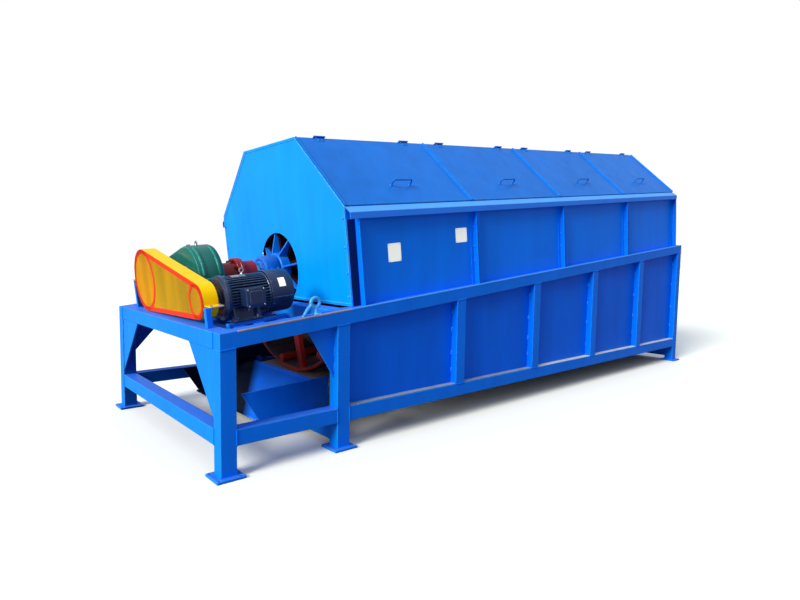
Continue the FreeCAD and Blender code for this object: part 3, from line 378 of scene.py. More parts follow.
LEG_STARTS = (0.0, 0.832, 6.28)
POST_STARTS = [LENGTH - k * 1.065 - TUBE for k in (4, 3, 2, 1)]
seams = []
for flip in (-1, 1):
    outer, inner = flip * SIDE, flip * (SIDE - TUBE)
    for x in LEG_STARTS:
        seams += square_seam(x, x + TUBE, outer, inner, 0.016)
    for x in LEG_STARTS + tuple(POST_STARTS):
        for y in (outer, inner):
            seams.append(weld((x, y, rail_under(x)), (x + TUBE, y, rail_under(x + TUBE))))
    for x in POST_STARTS:
        seams += square_seam(x, x + TUBE, outer, inner, 0.295)
    for x in (0.1, 0.832, 0.932, 6.28):
        for y in (outer, inner):
            seams.append(weld((x, y, 0.195), (x, y, 0.295)))
        for z in (0.195, 0.295):
            seams.append(weld((x, outer, z), (x, inner, z)))
    for x, z in ((0.0, None), (0.0, 0.195), (0.832, 0.06), (6.28, 0.06)):
        for edge in (x, x + TUBE):
            low = z if z is not None else rail_under(edge)
            seams.append(weld((edge, inner, low), (edge, inner, low + TUBE)))
piece("frame_welds", seams, "frame", weld_blue, level)

# The outer upper edges of the top rails carry rounded strips in a lighter blue, a painted highlight for the
# light they catch; beside the drive the paint is rubbed to grey primer.
edge_highlight_blue = enamel("edge_highlight_blue", (0.04, 0.30, 1.0), (0.1, 0.5, 1.0), dust=0.0, waves=0.0, gloss=0.3)
edge_primer = enamel("edge_primer", (0.30, 0.25, 0.28), (0.5, 0.42, 0.42), drift=0.4, dust=0.1, waves=0.0,
                     gloss=0.1)


def edge_strip(y, start, end):
    """A rounded strip along the upper edge of a top rail, 2 mm proud of both faces."""
    w, f = 0.007, 0.004
    outline = [(-w + f, -w), (w - f, -w), (w, -w + f), (w, w - f), (w - f, w), (-w + f, w), (-w, w - f),
               (-w, -w + f)]
    return carried(outline, [(start, y, -0.005), (end, y, -0.005)], (0, 0, 1))


piece("rail_edge_highlight_strips", [edge_strip(flip * (SIDE - 0.005), 0.95, 6.4) for flip in (-1, 1)],
      "frame", edge_highlight_blue, tip)
piece("rail_edge_rubbed", [edge_strip(flip * (SIDE - 0.005), 0.112, 0.95) for flip in (-1, 1)],
      "frame", edge_primer, tip)

# Tacks: short lumps of weld where the posts meet the sheets and along the chute.
# They were struck by hand, so they differ a little in size.


def tack(place, radius, flatten=(1, 1, 1)):
    """A lump: rings of a half turn, radius * (cos, sin) of the height angle."""
    lift = np.linspace(-math.pi / 2, math.pi / 2, 6)[1:-1]
    ring = circle(1.0, 8)
    points = np.stack([np.outer(np.cos(lift), ring[:, 0]), np.outer(np.cos(lift), ring[:, 1]),
                       np.repeat(np.sin(lift)[:, None], 8, 1)], -1)
    return skin_of(np.asarray(place) + points * radius * np.asarray(flatten))


dice = np.random.default_rng(6)
tacks = []
PANEL_FACE = SIDE - 0.062
for flip in (-1, 1):
    for x in POST_STARTS + [6.28]:
        top = rail_under(x)
        for share in (0.16, 0.38, 0.62, 0.85):
            z = 0.295 + share * (top - 0.295) + dice.uniform(-0.02, 0.02)
            tacks.append(tack((x, flip * (PANEL_FACE + 0.004), z), dice.uniform(0.011, 0.016),
                              (0.8, 0.8, 1.9)))
    for x in [0.932] + [start + TUBE for start in POST_STARTS]:
        top = rail_under(x)
        for share in (0.2, 0.5, 0.8):
            z = 0.295 + share * (top - 0.295) + dice.uniform(-0.03, 0.03)
            tacks.append(tack((x, flip * (PANEL_FACE + 0.004), z), dice.uniform(0.009, 0.013),
                              (0.8, 0.8, 1.9)))
piece("sheet_tacks", tacks, "frame", frame_blue, level)

# Corner plates are stitched to the tubes with short beads.
stitches = []
for flip in (-1, 1):
    inner = flip * (SIDE - TUBE)
    for share in (0.12, 0.45, 0.8):
        drop = 0.4 * share
        for x in (0.005, 0.015):
            stitches.append(weld((x, inner, rail_under(0.01) - drop),
                                 (x, inner, rail_under(0.01) - drop - 0.05)))
            stitches.append(weld((x, inner - flip * drop, rail_under(0.01)),
                                 (x, inner - flip * (drop + 0.05), rail_under(0.01))))
    for share in (0.1, 0.4, 0.7):
        for y in (0.945, 0.955):
            z = rail_under(0.832) - 0.365 * share
            stitches.append(weld((0.832, flip * (y + 0.05), z), (0.832, flip * (y + 0.05), z - 0.06)))
piece("corner_stitches", stitches, "frame", frame_blue, level)

# Lower panels: sheet set back between the posts, with a folded lip along the bottom rail.
# The sheets are sprayed in a deeper shade than the tubes, which are sprayed twice.
# Their faces turned to the inside are darkened strongly: painted shade.
sheet_blue = enamel("sheet_blue", (0.0, 0.12, 0.83), (0.03, 0.28, 1.0), drift=0.09, waves=0.45, gloss=0.1,
                    inside=0.95)
dress(sheet_blue, "lower_panels_left", "lower_panels_right", "rear_lower_panel")


def flat_bar(width, depth, start, end, up, fillet=0.0015):
    """A flat bar with eased edges, carried straight from start to end."""
    w, d, f = width / 2, depth / 2, fillet
    outline = [(-w + f, -d), (w - f, -d), (w, -d + f), (w, d - f), (w - f, d), (-w + f, d), (-w, d - f),
               (-w, -d + f)]
    return carried(outline, [start, end], up)


ledge_blue = enamel("ledge_blue", (0.14, 0.24, 0.42), (0.3, 0.5, 0.9), drift=0.3, dust=0.9, waves=0.0,
                    gloss=0.1)
ledge_pale = enamel("ledge_pale", (0.72, 0.72, 0.64), (0.9, 0.9, 0.8), drift=0.15, dust=0.5, waves=0.0,
                    gloss=0.1)
lips = []
bay_edges = [0.832] + POST_STARTS + [6.28]
for flip in (-1, 1):
    for left, right_edge in zip(bay_edges[:-1], bay_edges[1:]):
        y = flip * (PANEL_FACE + 0.028)
        lips.append(flat_bar(0.056, 0.006, (left + TUBE, y, 0.2982), (right_edge, y, 0.2982), (0, 0, 1)))
piece("panel_lips", lips[0:2] + lips[5:7], "frame", ledge_blue, level)
piece("panel_lips_dusty", lips[2:5] + lips[7:10], "frame", ledge_pale, level)

# Chute: a sloping floor between two cheeks, rubbed bright where the screened stock slides off it.
# Its far lower corner, past a slanting line, is painted dark: a painted shadow.
chute_blue = enamel("chute_blue", (0.0, 0.17, 1.0), (0.15, 0.5, 1.0), drift=0.16, dust=0.05, waves=0.2,
                    width=0.006, gloss=0.12)
dress(chute_blue, "discharge_chute")
PAINTED_SHADOW = group_of("painted shadow line", {}, {"Unshadowed": "Float"})
shadow_spot = wire(PAINTED_SHADOW, "ShaderNodeTexCoord").outputs["Object"]
shadow_spot = wire(PAINTED_SHADOW, "ShaderNodeSeparateXYZ", {0: shadow_spot}).outputs
shadow_edge = calc(PAINTED_SHADOW, "MULTIPLY_ADD", shadow_spot[1], -0.909,
                 calc(PAINTED_SHADOW, "MULTIPLY_ADD", shadow_spot[0], 1.48, 3.736))
wire(PAINTED_SHADOW, "NodeGroupOutput", {"Unshadowed": ramp(PAINTED_SHADOW, shadow_edge, 0.02, 0.15, 0.01)})


def darken(material, share):
    """Multiplies the colour that feeds the shader by a share."""
    colour = material.node_tree.nodes["Principled BSDF"].inputs["Base Color"]
    material.node_tree.links.new(scaled(material.node_tree, colour.links[0].from_socket, share), colour)


darken(chute_blue, wire(chute_blue.node_tree, "ShaderNodeGroup", node_tree=PAINTED_SHADOW).outputs["Unshadowed"])
floor_start, floor_end = np.array([0.47, 0, 0.166]), np.array([0.97, 0, 0.39])
chute_beads = []
for flip in (-1, 1):
    for share in np.arange(0.04, 0.95, 0.13):
        one = floor_start + (floor_end - floor_start) * share + (0, flip * 0.549, 0)
        two = floor_start + (floor_end - floor_start) * (share + 0.07) + (0, flip * 0.549, 0)
        chute_beads.append(weld(one, two, 0.006))
piece("chute_beads", chute_beads, "frame", chute_blue, level)
liner = [flat_bar(1.06, 0.003, (0.478, 0, 0.1728), (0.93, 0, 0.3748), (0, 0, 1))]
WORN = group_of("worn plate", {"Bare": "Color", "Stain": "Color"},
                {"Colour": "Color", "Roughness": "Float", "Normal": "Vector"})


def fill_worn(tree):
    """Scratches: noise drawn out along the slide; stains fill its dark half."""
    given = wire(tree, "NodeGroupInput").outputs
    place = wire(tree, "ShaderNodeTexCoord").outputs["Object"]
    drawn = wire(tree, "ShaderNodeMapping", {"Vector": place, "Scale": (2.2, 14.0, 2.2)}).outputs[0]
    lines = noise(tree, drawn, 4.0, 8.0, 0.75)
    share = ramp(tree, calc(tree, "ADD", lines, noise(tree, place, 5.0, 6.0)), 0.85, 1.15)
    bump = wire(tree, "ShaderNodeBump", {"Strength": 0.35, "Distance": 0.001, "Height": lines})
    wire(tree, "NodeGroupOutput", {"Colour": blend(tree, share, given["Bare"], given["Stain"]),
                                   "Roughness": ramp(tree, share, 0.0, 1.0, 0.3, 0.6),
                                   "Normal": bump.outputs[0]})


fill_worn(WORN)
worn_steel, tree, skin = plain("worn_steel")
coat_with(worn_steel, WORN, Bare=(0.004, 0.12, 0.7, 1), Stain=(0.0, 0.15, 0.9, 1))
skin.inputs["Specular IOR Level"].default_value = 0.15
# The worn floor face takes the same painted shadow.
darken(worn_steel, wire(tree, "ShaderNodeGroup", node_tree=PAINTED_SHADOW).outputs["Unshadowed"])
piece("chute_floor_face", liner, "frame", worn_steel, level)

# A folded plate carries on from the upper edge of the chute, close under the drum.
# It is bare steel, brown with dust.
dusty_steel = plain("dusty_steel")[0]
coat_with(dusty_steel, WORN, Bare=(0.5, 0.42, 0.39, 1), Stain=(0.34, 0.26, 0.24, 1))
fold = [(-0.548, -0.0015), (0.548, -0.0015), (0.548, 0.0015), (-0.548, 0.0015)]
fold_path = [(0.974, 0, 0.384), (1.04, 0, 0.347), (1.06, 0, 0.342), (1.2, 0, 0.35), (1.9, 0, 0.42)]
piece("chute_back_plate", [carried(fold, fold_path, (0, 0, 1))], "frame", dusty_steel,
      level)

# Hood shell: end plates, walls, roof strip and rafters of folded sheet, welded and bolted.
# The drive end plate faces the lamp and is painted a lighter, greener blue than the walls: painted light that
# makes it the brightest face of the machine.
lit_end_blue = enamel("lit_end_plate_blue", (0.0, 0.30, 0.9), (0.25, 0.75, 1.0), drift=0.09, waves=0.5,
                  width=0.005)
wall_blue = enamel("wall_blue", (0.0, 0.185, 1.0), (0.05, 0.36, 1.0), drift=0.07, waves=0.35, gloss=0.12)
dress(lit_end_blue, "hood_front_plate")
dress(wall_blue, "hood_rear_plate", "hood_wall_left", "hood_wall_right", "hood_ribs_left",
      "hood_ribs_right", "roof_top_panel", "feed_spout")
HOOD_START, HOOD_END, BAY, WALL, WALL_TOP, FLAT, ROOF_TOP = 1.0, 6.27614, 1.319035, 0.985, 0.699, 0.408, 1.249
ROOF_ANGLE = math.atan2(ROOF_TOP - WALL_TOP, WALL - FLAT)
rim = []
edge_run = [(-WALL, 0.004), (-WALL, WALL_TOP), (-FLAT, ROOF_TOP), (FLAT, ROOF_TOP), (WALL, WALL_TOP),
            (WALL, 0.004)]
for (y0, n0), (y1, n1) in zip(edge_run[:-1], edge_run[1:]):
    length = math.hypot(y1 - y0, n1 - n0)
    in_y, in_n = (n1 - n0) / length * 0.011, -(y1 - y0) / length * 0.011
    rim.append(flat_bar(0.022, 0.004, (0.9988, y0 + in_y, n0 + in_n), (0.9988, y1 + in_y, n1 + in_n),
                        (1, 0, 0)))
rim.append(flat_bar(0.022, 0.004, (0.9988, -WALL, 0.013), (0.9988, -0.2, 0.013), (1, 0, 0)))
rim.append(flat_bar(0.022, 0.004, (0.9988, WALL, 0.013), (0.9988, 0.2, 0.013), (1, 0, 0)))
piece("end_plate_border", rim, "frame", lit_end_blue, tip)

# Bolts: hexagon heads on round washers. Those of the end plate are sprayed over.


def frame_of(axis):
    """Two directions square to an axis and to each other."""
    axis = np.asarray(axis, float) / np.linalg.norm(axis)
    side = np.cross(axis, (0.0, 0.0, 1.0) if abs(axis[2]) < 0.9 else (1.0, 0.0, 0.0))
    side /= np.linalg.norm(side)
    return axis, side, np.cross(axis, side)


def turned(outline, centre, axis, sides=32, loop=False, caps=True):
    """A turned shape: each (along, radius) of the outline makes a ring round the axis."""
    outline = np.asarray(outline, float)
    axis, side, rise = frame_of(axis)
    ring = circle(1.0, sides)
    around = ring[:, :1] * side + ring[:, 1:] * rise
    points = np.asarray(centre) + outline[:, None, :1] * axis + outline[:, None, 1:] * around[None]
    return skin_of(points, loop=loop, caps=caps)


def bolt(centre, axis, across=0.018, tall=0.009):
    """A washer and a six sided head with a chamfered top."""
    washer = turned([(0, across * 0.62), (across * 0.09, across * 0.62), (across * 0.09, across * 0.3)],
                    centre, axis, 14)
    start = across * 0.09
    head = turned([(start, across * 0.5), (start + tall * 0.8, across * 0.5),
                   (start + tall, across * 0.42)],
                  centre, axis, 6)
    return [washer, head]


end_bolts = []
for flip in (-1, 1):
    for n in (0.07, 0.235, 0.42, 0.62):
        end_bolts += bolt((0.9965, flip * 0.962, n), (-1, 0, 0), 0.014, 0.006)
piece("end_plate_bolts", end_bolts, "frame", lit_end_blue, tip)
eave_blue = enamel("eave_blue", (0.02, 0.21, 1.0), (0.15, 0.5, 1.0), drift=0.05, waves=0.15)
dress(eave_blue, "eave_angles")
# A thin strip in a lighter blue lies on the sloping top leaf of each eave angle: painted light for the top
# face, which the sky lights more than the upright face.
eave_lit_top_blue = enamel("eave_lit_top_blue", (0.06, 0.33, 1.0), (0.3, 0.65, 1.0), drift=0.06, waves=0.1)
eave_lit_tops = []
for flip in (-1, 1):
    middle_y, middle_n = flip * (WALL + 0.0275), WALL_TOP - 0.021
    normal = np.array([0.0, flip * 0.607, 0.795])
    y, n = middle_y + normal[1] * 0.0008, middle_n + normal[2] * 0.0008
    eave_lit_tops.append(flat_bar(0.067, 0.0012, (1.008, y, n), (HOOD_END - 0.002, y, n), normal, 0.0004))
piece("eave_lit_top_strips", eave_lit_tops, "frame", eave_lit_top_blue, tip)

# Stitch welds where the ribs stand on the wall, and tacks on the face of each rib.
rib_welds = []
rib_faces = [HOOD_START + k * BAY for k in (1, 2, 3)]
for flip in (-1, 1):
    for s in rib_faces:
        for n in np.arange(0.05, 0.58, 0.11):
            for side in (-0.0405, 0.0405):
                rib_welds.append(weld((s + side, flip * 0.9855, n), (s + side, flip * 0.9855, n + 0.035),
                                      0.004))
        for n in (0.2, 0.34, 0.47):
            rib_welds.append(tack((s - 0.006, flip * 0.995, n + dice.uniform(-0.02, 0.02)), 0.01,
                                  (0.8, 0.9, 1.5)))
piece("rib_welds", rib_welds, "frame", wall_blue, tip)

# Each rib ends in a narrow flange that looks outwards, in the darker blue of the sheets: a dark strip that
# stands for the shadow beside each rib.
shadow_flanges = []
for flip in (-1, 1):
    for s in rib_faces + [HOOD_END - 0.03]:
        y = flip * (WALL + 0.0485)
        shadow_flanges.append(flat_bar(0.03, 0.003, (s + 0.0135, y, 0.002), (s + 0.0135, y, 0.6105), (0, 1, 0)))
piece("rib_shadow_flanges", shadow_flanges, "frame", sheet_blue, tip)

# The strip behind the end plate is painted nearly black, as painted shade for the recess there,
# and so are the rafters under the joints of the lids, as painted shade.
painted_shade_navy = enamel("painted_shade_navy", (0.0, 0.012, 0.12), (0.0, 0.03, 0.25), drift=0.3, dust=0.0, waves=0.0,
                    gloss=0.1)
recess = []
for flip in (-1, 1):
    y = flip * (WALL + 0.0056)
    recess.append(flat_bar(0.066, 0.001, (1.0415, y, 0.002), (1.0415, y, 0.6105), (0, 1, 0), 0.0003))
piece("end_plate_recess_shade", recess, "frame", painted_shade_navy, tip)
dress(painted_shade_navy, "roof_rafters")

# Roof lids: eight sheets with upturned side edges, on pin hinges, each with a bent bar for a handle.
lid_blue = enamel("lid_blue", (0.002, 0.145, 0.64), (0.05, 0.40, 1.0), drift=0.09, dust=0.03, waves=0.4,
                  width=0.004, gloss=0.12)
HINGE_Y, HINGE_N = FLAT + 0.014 * math.sin(ROOF_ANGLE), ROOF_TOP + 0.014 * math.cos(ROOF_ANGLE)


def on_lid(flip):
    """Maps points (along the machine, down the roof slope, out of the lid) into the row frame."""
    def mapped(points):
        s, down, out = np.moveaxis(np.asarray(points, float), -1, 0)
        y = HINGE_Y + down * math.cos(ROOF_ANGLE) + out * math.sin(ROOF_ANGLE)
        n = HINGE_N - down * math.sin(ROOF_ANGLE) + out * math.cos(ROOF_ANGLE)
        return tip(np.stack([s, flip * y, n], -1))
    return mapped


LID_RUN = (WALL - FLAT) / math.cos(ROOF_ANGLE) - 0.004
LID_UNDER, LID_FACE, PIN = -0.0137, -0.0097, 0.0045


def knuckle(start, length, down):
    """A strip rolled round the pin: three quarters of a circle, then a straight run down the lid."""
    roll = np.radians(np.linspace(200, -90, 22))
    reach = PIN + 0.0012
    path = np.concatenate([np.stack([np.full(22, start + length / 2), -reach * np.cos(roll),
                                     reach * np.sin(roll)], -1),
                           [(start + length / 2, 0.01, LID_FACE + 0.001),
                            (start + length / 2, down, LID_FACE + 0.001)]])
    half = length / 2
    return carried([(-0.001, -half), (0.001, -half), (0.001, half), (-0.001, half)], path, (1, 0, 0))


def lofted(outline, rows, along):
    """A slab with eased edges: each row is the outline, drawn in by its inset, at its place along an axis."""
    outline = np.asarray(outline, float)
    ahead_of, behind = np.roll(outline, -1, 0) - outline, outline - np.roll(outline, 1, 0)
    edge = ahead_of / np.linalg.norm(ahead_of, axis=1, keepdims=True) \
        + behind / np.linalg.norm(behind, axis=1, keepdims=True)
    edge /= np.linalg.norm(edge, axis=1, keepdims=True)
    wide, high = outline[:, 0], outline[:, 1]
    turn_sign = np.sign(np.sum(wide * np.roll(high, -1) - high * np.roll(wide, -1)))
    inward = np.stack([-edge[:, 1], edge[:, 0]], -1) * turn_sign
    points = []
    for place, inset in rows:
        ring = outline + inward * inset
        level_of = np.full(len(outline), float(place))
        points.append(np.stack({"s": (level_of, ring[:, 0], ring[:, 1]),
                                "n": (ring[:, 0], ring[:, 1], level_of),
                                "y": (ring[:, 0], level_of, ring[:, 1])}[along], -1))
    return skin_of(np.stack(points))


def eased(start, end, ease):
    """Rows of a slab: a short quarter round at both ends."""
    return [(start, ease), (start + 0.3 * ease, 0.3 * ease), (start + ease, 0), (end - ease, 0),
            (end - 0.3 * ease, 0.3 * ease), (end, ease)]


pins = []
for flip, side in ((-1, "right"), (1, "left")):
    for k in range(4):
        start = HOOD_START + k * BAY + 0.003
        length = BAY - 0.006
        middle = start + length / 2
        tray = [(start + 0.001, LID_UNDER), (start + length - 0.001, LID_UNDER),
                (start + length, LID_UNDER + 0.002),
                (start + length, LID_UNDER + 0.0195), (start + length - 0.001, LID_UNDER + 0.02),
                (start + length - 0.003, LID_UNDER + 0.02), (start + length - 0.004, LID_UNDER + 0.019),
                (start + length - 0.004, LID_FACE + 0.002), (start + length - 0.006, LID_FACE),
                (start + 0.006, LID_FACE), (start + 0.004, LID_FACE + 0.002),
                (start + 0.004, LID_UNDER + 0.019),
                (start + 0.003, LID_UNDER + 0.02), (start + 0.001, LID_UNDER + 0.02),
                (start, LID_UNDER + 0.0195), (start, LID_UNDER + 0.002)]
        tray = np.asarray(tray)
        rows = [np.stack([tray[:, 0], np.full(len(tray), down), tray[:, 1]], -1)
                for down in np.linspace(0.014, LID_RUN, 9)]
        lid = [skin_of(np.stack(rows))]
        bend = np.radians(np.linspace(90, 0, 7))
        left_foot, radius = middle - 0.095, 0.018
        corner = np.stack([left_foot + radius - radius * np.sin(bend),
                           LID_UNDER + 0.06 - radius + radius * np.cos(bend)], -1)
        half_way = np.concatenate([[(left_foot, LID_FACE)], corner])
        back_down = np.stack([2 * middle - half_way[::-1, 0], half_way[::-1, 1]], -1)
        grip = np.concatenate([half_way, back_down])
        grip = np.stack([grip[:, 0], np.full(len(grip), LID_RUN - 0.208), grip[:, 1]], -1)
        lid.append(carried(circle(0.0065, 12), grip, (0, 1, 0)))
        for foot in (-0.095, 0.095):
            lid.append(turned([(0, 0.013), (0.002, 0.012), (0.005, 0.0085), (0.007, 0.0066)],
                              (middle + foot, LID_RUN - 0.208, LID_FACE), (0, 0, 1), 16))
        for barrel in (start + 0.19, start + length - 0.25):
            lid.append(knuckle(barrel, 0.06, 0.045))
            for shift in (0.014, 0.046):
                lid += bolt((barrel + shift, 0.032, LID_FACE + 0.002), (0, 0, 1), 0.009, 0.004)
            run = np.array([barrel - 0.0203, barrel + 0.0803])
            lugs = []
            for near in (run[0], run[1] - 0.02):
                arc = np.radians(np.linspace(-70, 150, 12))
                shape = np.concatenate([
                    np.stack([flip * (HINGE_Y + 0.0068 * np.cos(arc)), HINGE_N + 0.0068 * np.sin(arc)],
                             -1),
                    [(flip * (FLAT - 0.012), ROOF_TOP + 0.004),
                     (flip * (FLAT - 0.022), ROOF_TOP + 0.0025),
                     (flip * (FLAT - 0.022), ROOF_TOP), (flip * FLAT, ROOF_TOP)]])
                lugs.append(lofted(shape, eased(near, near + 0.02, 0.001), "s"))
            lugs.append(turned([(-0.001, 0.0068), (0.0, 0.0072), (0.0, PIN), (run[1] - run[0], PIN),
                                (run[1] - run[0], 0.0068), (run[1] - run[0] + 0.001, 0.0062)],
                               (run[0], flip * HINGE_Y, HINGE_N), (1, 0, 0), 16))
            pins += lugs
        lid.append(flat_bar(0.016, 0.003, (start + 0.005, LID_RUN - 0.01, LID_FACE + 0.0016),
                            (start + length - 0.005, LID_RUN - 0.01, LID_FACE + 0.0016), (0, 0, 1)))
        name = "lid_%s_%d" % (side, k + 1)
        piece(name + "_sheet", lid, name, lid_blue, on_lid(flip), stands_for=(name,))
piece("roof_hinge_pins", pins, "frame", lid_blue, tip, stands_for=("roof_hinges",))

# Two blank tin plates are riveted to the first bay of the right wall.
glowing_tin_white = enamel("glowing_tin_white", (1.0, 1.0, 0.96), (0.5, 0.52, 0.55), drift=0.05, dust=0.1, waves=0.1,
                   width=0.0015)
# The plates glow faintly: painted light that keeps them whiter.
tin_glow_skin = glowing_tin_white.node_tree.nodes["Principled BSDF"]
tin_glow_skin.inputs["Emission Color"].default_value = (1.0, 1.0, 0.97, 1.0)
tin_glow_skin.inputs["Emission Strength"].default_value = 0.25


def tin_plate(s0, s1, n0, n1, face, corner=0.006, thick=0.0016):
    """A thin plate with rounded corners: quarter circles joined by straight edges."""
    quarter = np.linspace(0, math.pi / 2, 5)
    centres = [(s1 - corner, n1 - corner, 0), (s0 + corner, n1 - corner, 1),
               (s0 + corner, n0 + corner, 2), (s1 - corner, n0 + corner, 3)]
    outline = np.concatenate([np.stack([s + corner * np.cos(quarter + turn_of * math.pi / 2),
                                        n + corner * np.sin(quarter + turn_of * math.pi / 2)], -1)
                              for s, n, turn_of in centres])
    rows = [np.stack([outline[:, 0], np.full(len(outline), y), outline[:, 1]], -1)
            for y in (face, face - thick)]
    return skin_of(np.stack(rows))


tins = [tin_plate(2.10, 2.235, 0.366, 0.484, -WALL), tin_plate(1.365, 1.49, 0.279, 0.416, -WALL)]
piece("wall_plates", tins, "frame", glowing_tin_white, tip)
rivets = []
for s0, s1, n0, n1 in ((2.10, 2.235, 0.366, 0.484), (1.365, 1.49, 0.279, 0.416)):
    for s in (s0 + 0.009, s1 - 0.009):
        for n in (n0 + 0.009, n1 - 0.009):
            rivets.append(turned([(0, 0.004), (0.0012, 0.0036), (0.002, 0.002)], (s, -WALL - 0.0016, n),
                                 (0, -1, 0), 10))
bright_steel, tree, skin = plain("bright_steel")


def fill_turned_steel(tree, skin):
    """Machined steel: a fine grain in the surface, and stains in its tone and roughness."""
    place = wire(tree, "ShaderNodeTexCoord").outputs["Object"]
    stain = noise(tree, place, 18.0, 6.0)
    shade = scaled(tree, (0.62, 0.62, 0.64), ramp(tree, stain, 0.35, 0.65, 0.75, 1.1))
    rough = ramp(tree, stain, 0.3, 0.7, 0.2, 0.42)
    bump = wire(tree, "ShaderNodeBump", {"Strength": 0.2, "Distance": 0.0004,
                                         "Height": noise(tree, place, 260.0, 3.0)}).outputs[0]
    skin.inputs["Metallic"].default_value = 1.0
    for source, key in ((shade, "Base Color"), (rough, "Roughness"), (bump, "Normal")):
        tree.links.new(source, skin.inputs[key])


fill_turned_steel(tree, skin)
piece("plate_rivets", rivets, "frame", bright_steel, tip)

# Feed spout: a box of sheet with a flat flange round its mouth, bolted to the feeding chute of the plant.
mouth = HOOD_END + 0.12
spout = []
for y0, n0, y1, n1 in ((-0.306, 0.886, 0.306, 0.886), (-0.306, 0.474, 0.306, 0.474),
                       (-0.306, 0.474, -0.306, 0.886), (0.306, 0.474, 0.306, 0.886)):
    spout.append(flat_bar(0.036, 0.005, (mouth - 0.003, y0, n0), (mouth - 0.003, y1, n1), (1, 0, 0)))
piece("spout_flange", spout, "frame", wall_blue, tip)
spout_bolts = []
for y in np.linspace(-0.27, 0.27, 6):
    for n in (0.895, 0.465):
        spout_bolts += bolt((mouth - 0.006, y, n), (-1, 0, 0), 0.012, 0.006)
piece("spout_bolts", spout_bolts, "frame", bright_steel, tip)

# Lifting eyes: a forged ring on a shank, with a bar that leans against it, welded to each top rail.
eye_blue = enamel("eye_blue", (0.05, 0.36, 0.9), (0.55, 0.85, 1.0), dust=0.1, waves=0.0, coat=0.4)
eyes = []
for flip in (-1, 1):
    y = flip * (SIDE - TUBE / 2)
    angle = np.linspace(0, 2 * math.pi, 40, endpoint=False)
    ring_path = np.stack([0.692 + 0.0325 * np.cos(angle), np.full(40, y), 0.078 + 0.0325 * np.sin(angle)],
                         -1)
    eyes.append(carried(circle(0.0125, 12), ring_path, (0, 1, 0), loop=True))
    eyes.append(turned([(0, 0.022), (0.01, 0.02), (0.02, 0.0155), (0.042, 0.0145)], (0.692, y, 0.0),
                       (0, 0, 1), 20))
    share = np.linspace(0, 1, 12)[:, None]
    lean = np.array([0.6, y, 0.006]) * (1 - share) + np.array([0.668, y, 0.07]) * share
    lean[:, 2] += 0.008 * np.sin(share[:, 0] * math.pi)
    eyes.append(carried(circle(0.0115, 12), lean, (0, 1, 0)))
    eyes += [weld((0.592, y - 0.012, 0.001), (0.592, y + 0.012, 0.001), 0.006),
             weld((0.668, y - 0.02, 0.001), (0.716, y - 0.02, 0.001), 0.005),
             weld((0.668, y + 0.02, 0.001), (0.716, y + 0.02, 0.001), 0.005)]
piece("lifting_eye_rings", eyes, "frame", eye_blue, tip, stands_for=("lifting_lugs",))

# Shaft bearings: split cast housings with a round end cover, bolted to welded stands.
bearing_blue = enamel("bearing_blue", (0.0, 0.12, 0.6), (0.1, 0.35, 0.9), drift=0.12, dust=0.2, waves=0.1)
AXIS = 0.245


def bearing(middle, facing):
    """Housing, end cover, split line, bolts and nipple of one bearing."""
    arc = np.linspace(0, math.pi, 25)
    shape = np.concatenate([np.stack([0.12 * np.cos(arc), AXIS + 0.12 * np.sin(arc)], -1),
                            [(-0.12, 0.125), (0.12, 0.125)]])
    shells = [lofted(shape, eased(middle - 0.058, middle + 0.058, 0.008), "s")]
    foot = [(-0.18, 0.09), (0.18, 0.09), (0.18, 0.112), (0.16, 0.125), (-0.16, 0.125), (-0.18, 0.112)]
    shells.append(lofted(foot, eased(middle - 0.065, middle + 0.065, 0.006), "s"))
    for flip in (-1, 1):
        ear = [(flip * 0.115, 0.232), (flip * 0.158, 0.232), (flip * 0.158, 0.258), (flip * 0.115, 0.258)]
        shells.append(lofted(ear, eased(middle - 0.045, middle + 0.045, 0.005), "s"))
        web = [(flip * 0.115, 0.12), (flip * 0.165, 0.12), (flip * 0.15, 0.235), (flip * 0.115, 0.235)]
        shells.append(lofted(web, eased(middle - 0.012, middle + 0.012, 0.003), "s"))
    for sign in (-1, 1):
        cover = [(0.05, 0.108), (0.06, 0.108), (0.066, 0.104), (0.066, 0.08), (0.078, 0.076),
                 (0.084, 0.068), (0.084, 0.0605), (0.04, 0.0605)]
        shells.append(turned(cover, (middle, 0, AXIS), (sign, 0, 0), 40, loop=True))
    bolts = []
    for sign in (-1, 1):
        for angle in np.arange(6) * math.pi / 3 + 0.3:
            centre = (middle + sign * 0.066, 0.093 * math.cos(angle), AXIS + 0.093 * math.sin(angle))
            bolts += bolt(centre, (sign, 0, 0), 0.014, 0.007)
    for flip in (-1, 1):
        for shift in (-0.028, 0.028):
            bolts += bolt((middle + shift, flip * 0.138, 0.258), (0, 0, 1), 0.018, 0.011)
        bolts += bolt((middle, flip * 0.155, 0.1245), (0, 0, 1), 0.026, 0.016)
    nipple = turned([(0, 0.006), (0.01, 0.006), (0.012, 0.004), (0.018, 0.004), (0.02, 0.0055),
                     (0.026, 0.003)],
                    (middle + facing * 0.02, 0, AXIS + 0.118), (0, 0, 1), 12)
    return shells, bolts, nipple


front_middle = (0.832 + 0.05 * math.cos(SLOPE)) / math.cos(SLOPE)
rear_middle = 6.28 / math.cos(SLOPE) + 0.05
for name, middle, facing in (("front_bearing", front_middle, -1), ("rear_bearing", rear_middle, 1)):
    shells, bolts, nipple = bearing(middle, facing)
    piece(name + "_housing", shells, "frame", bearing_blue, tip, stands_for=(name,))
    piece(name + "_bolts", bolts, "frame", bearing_blue, tip)
    piece(name + "_nipple", [nipple], "frame", bright_steel, tip)

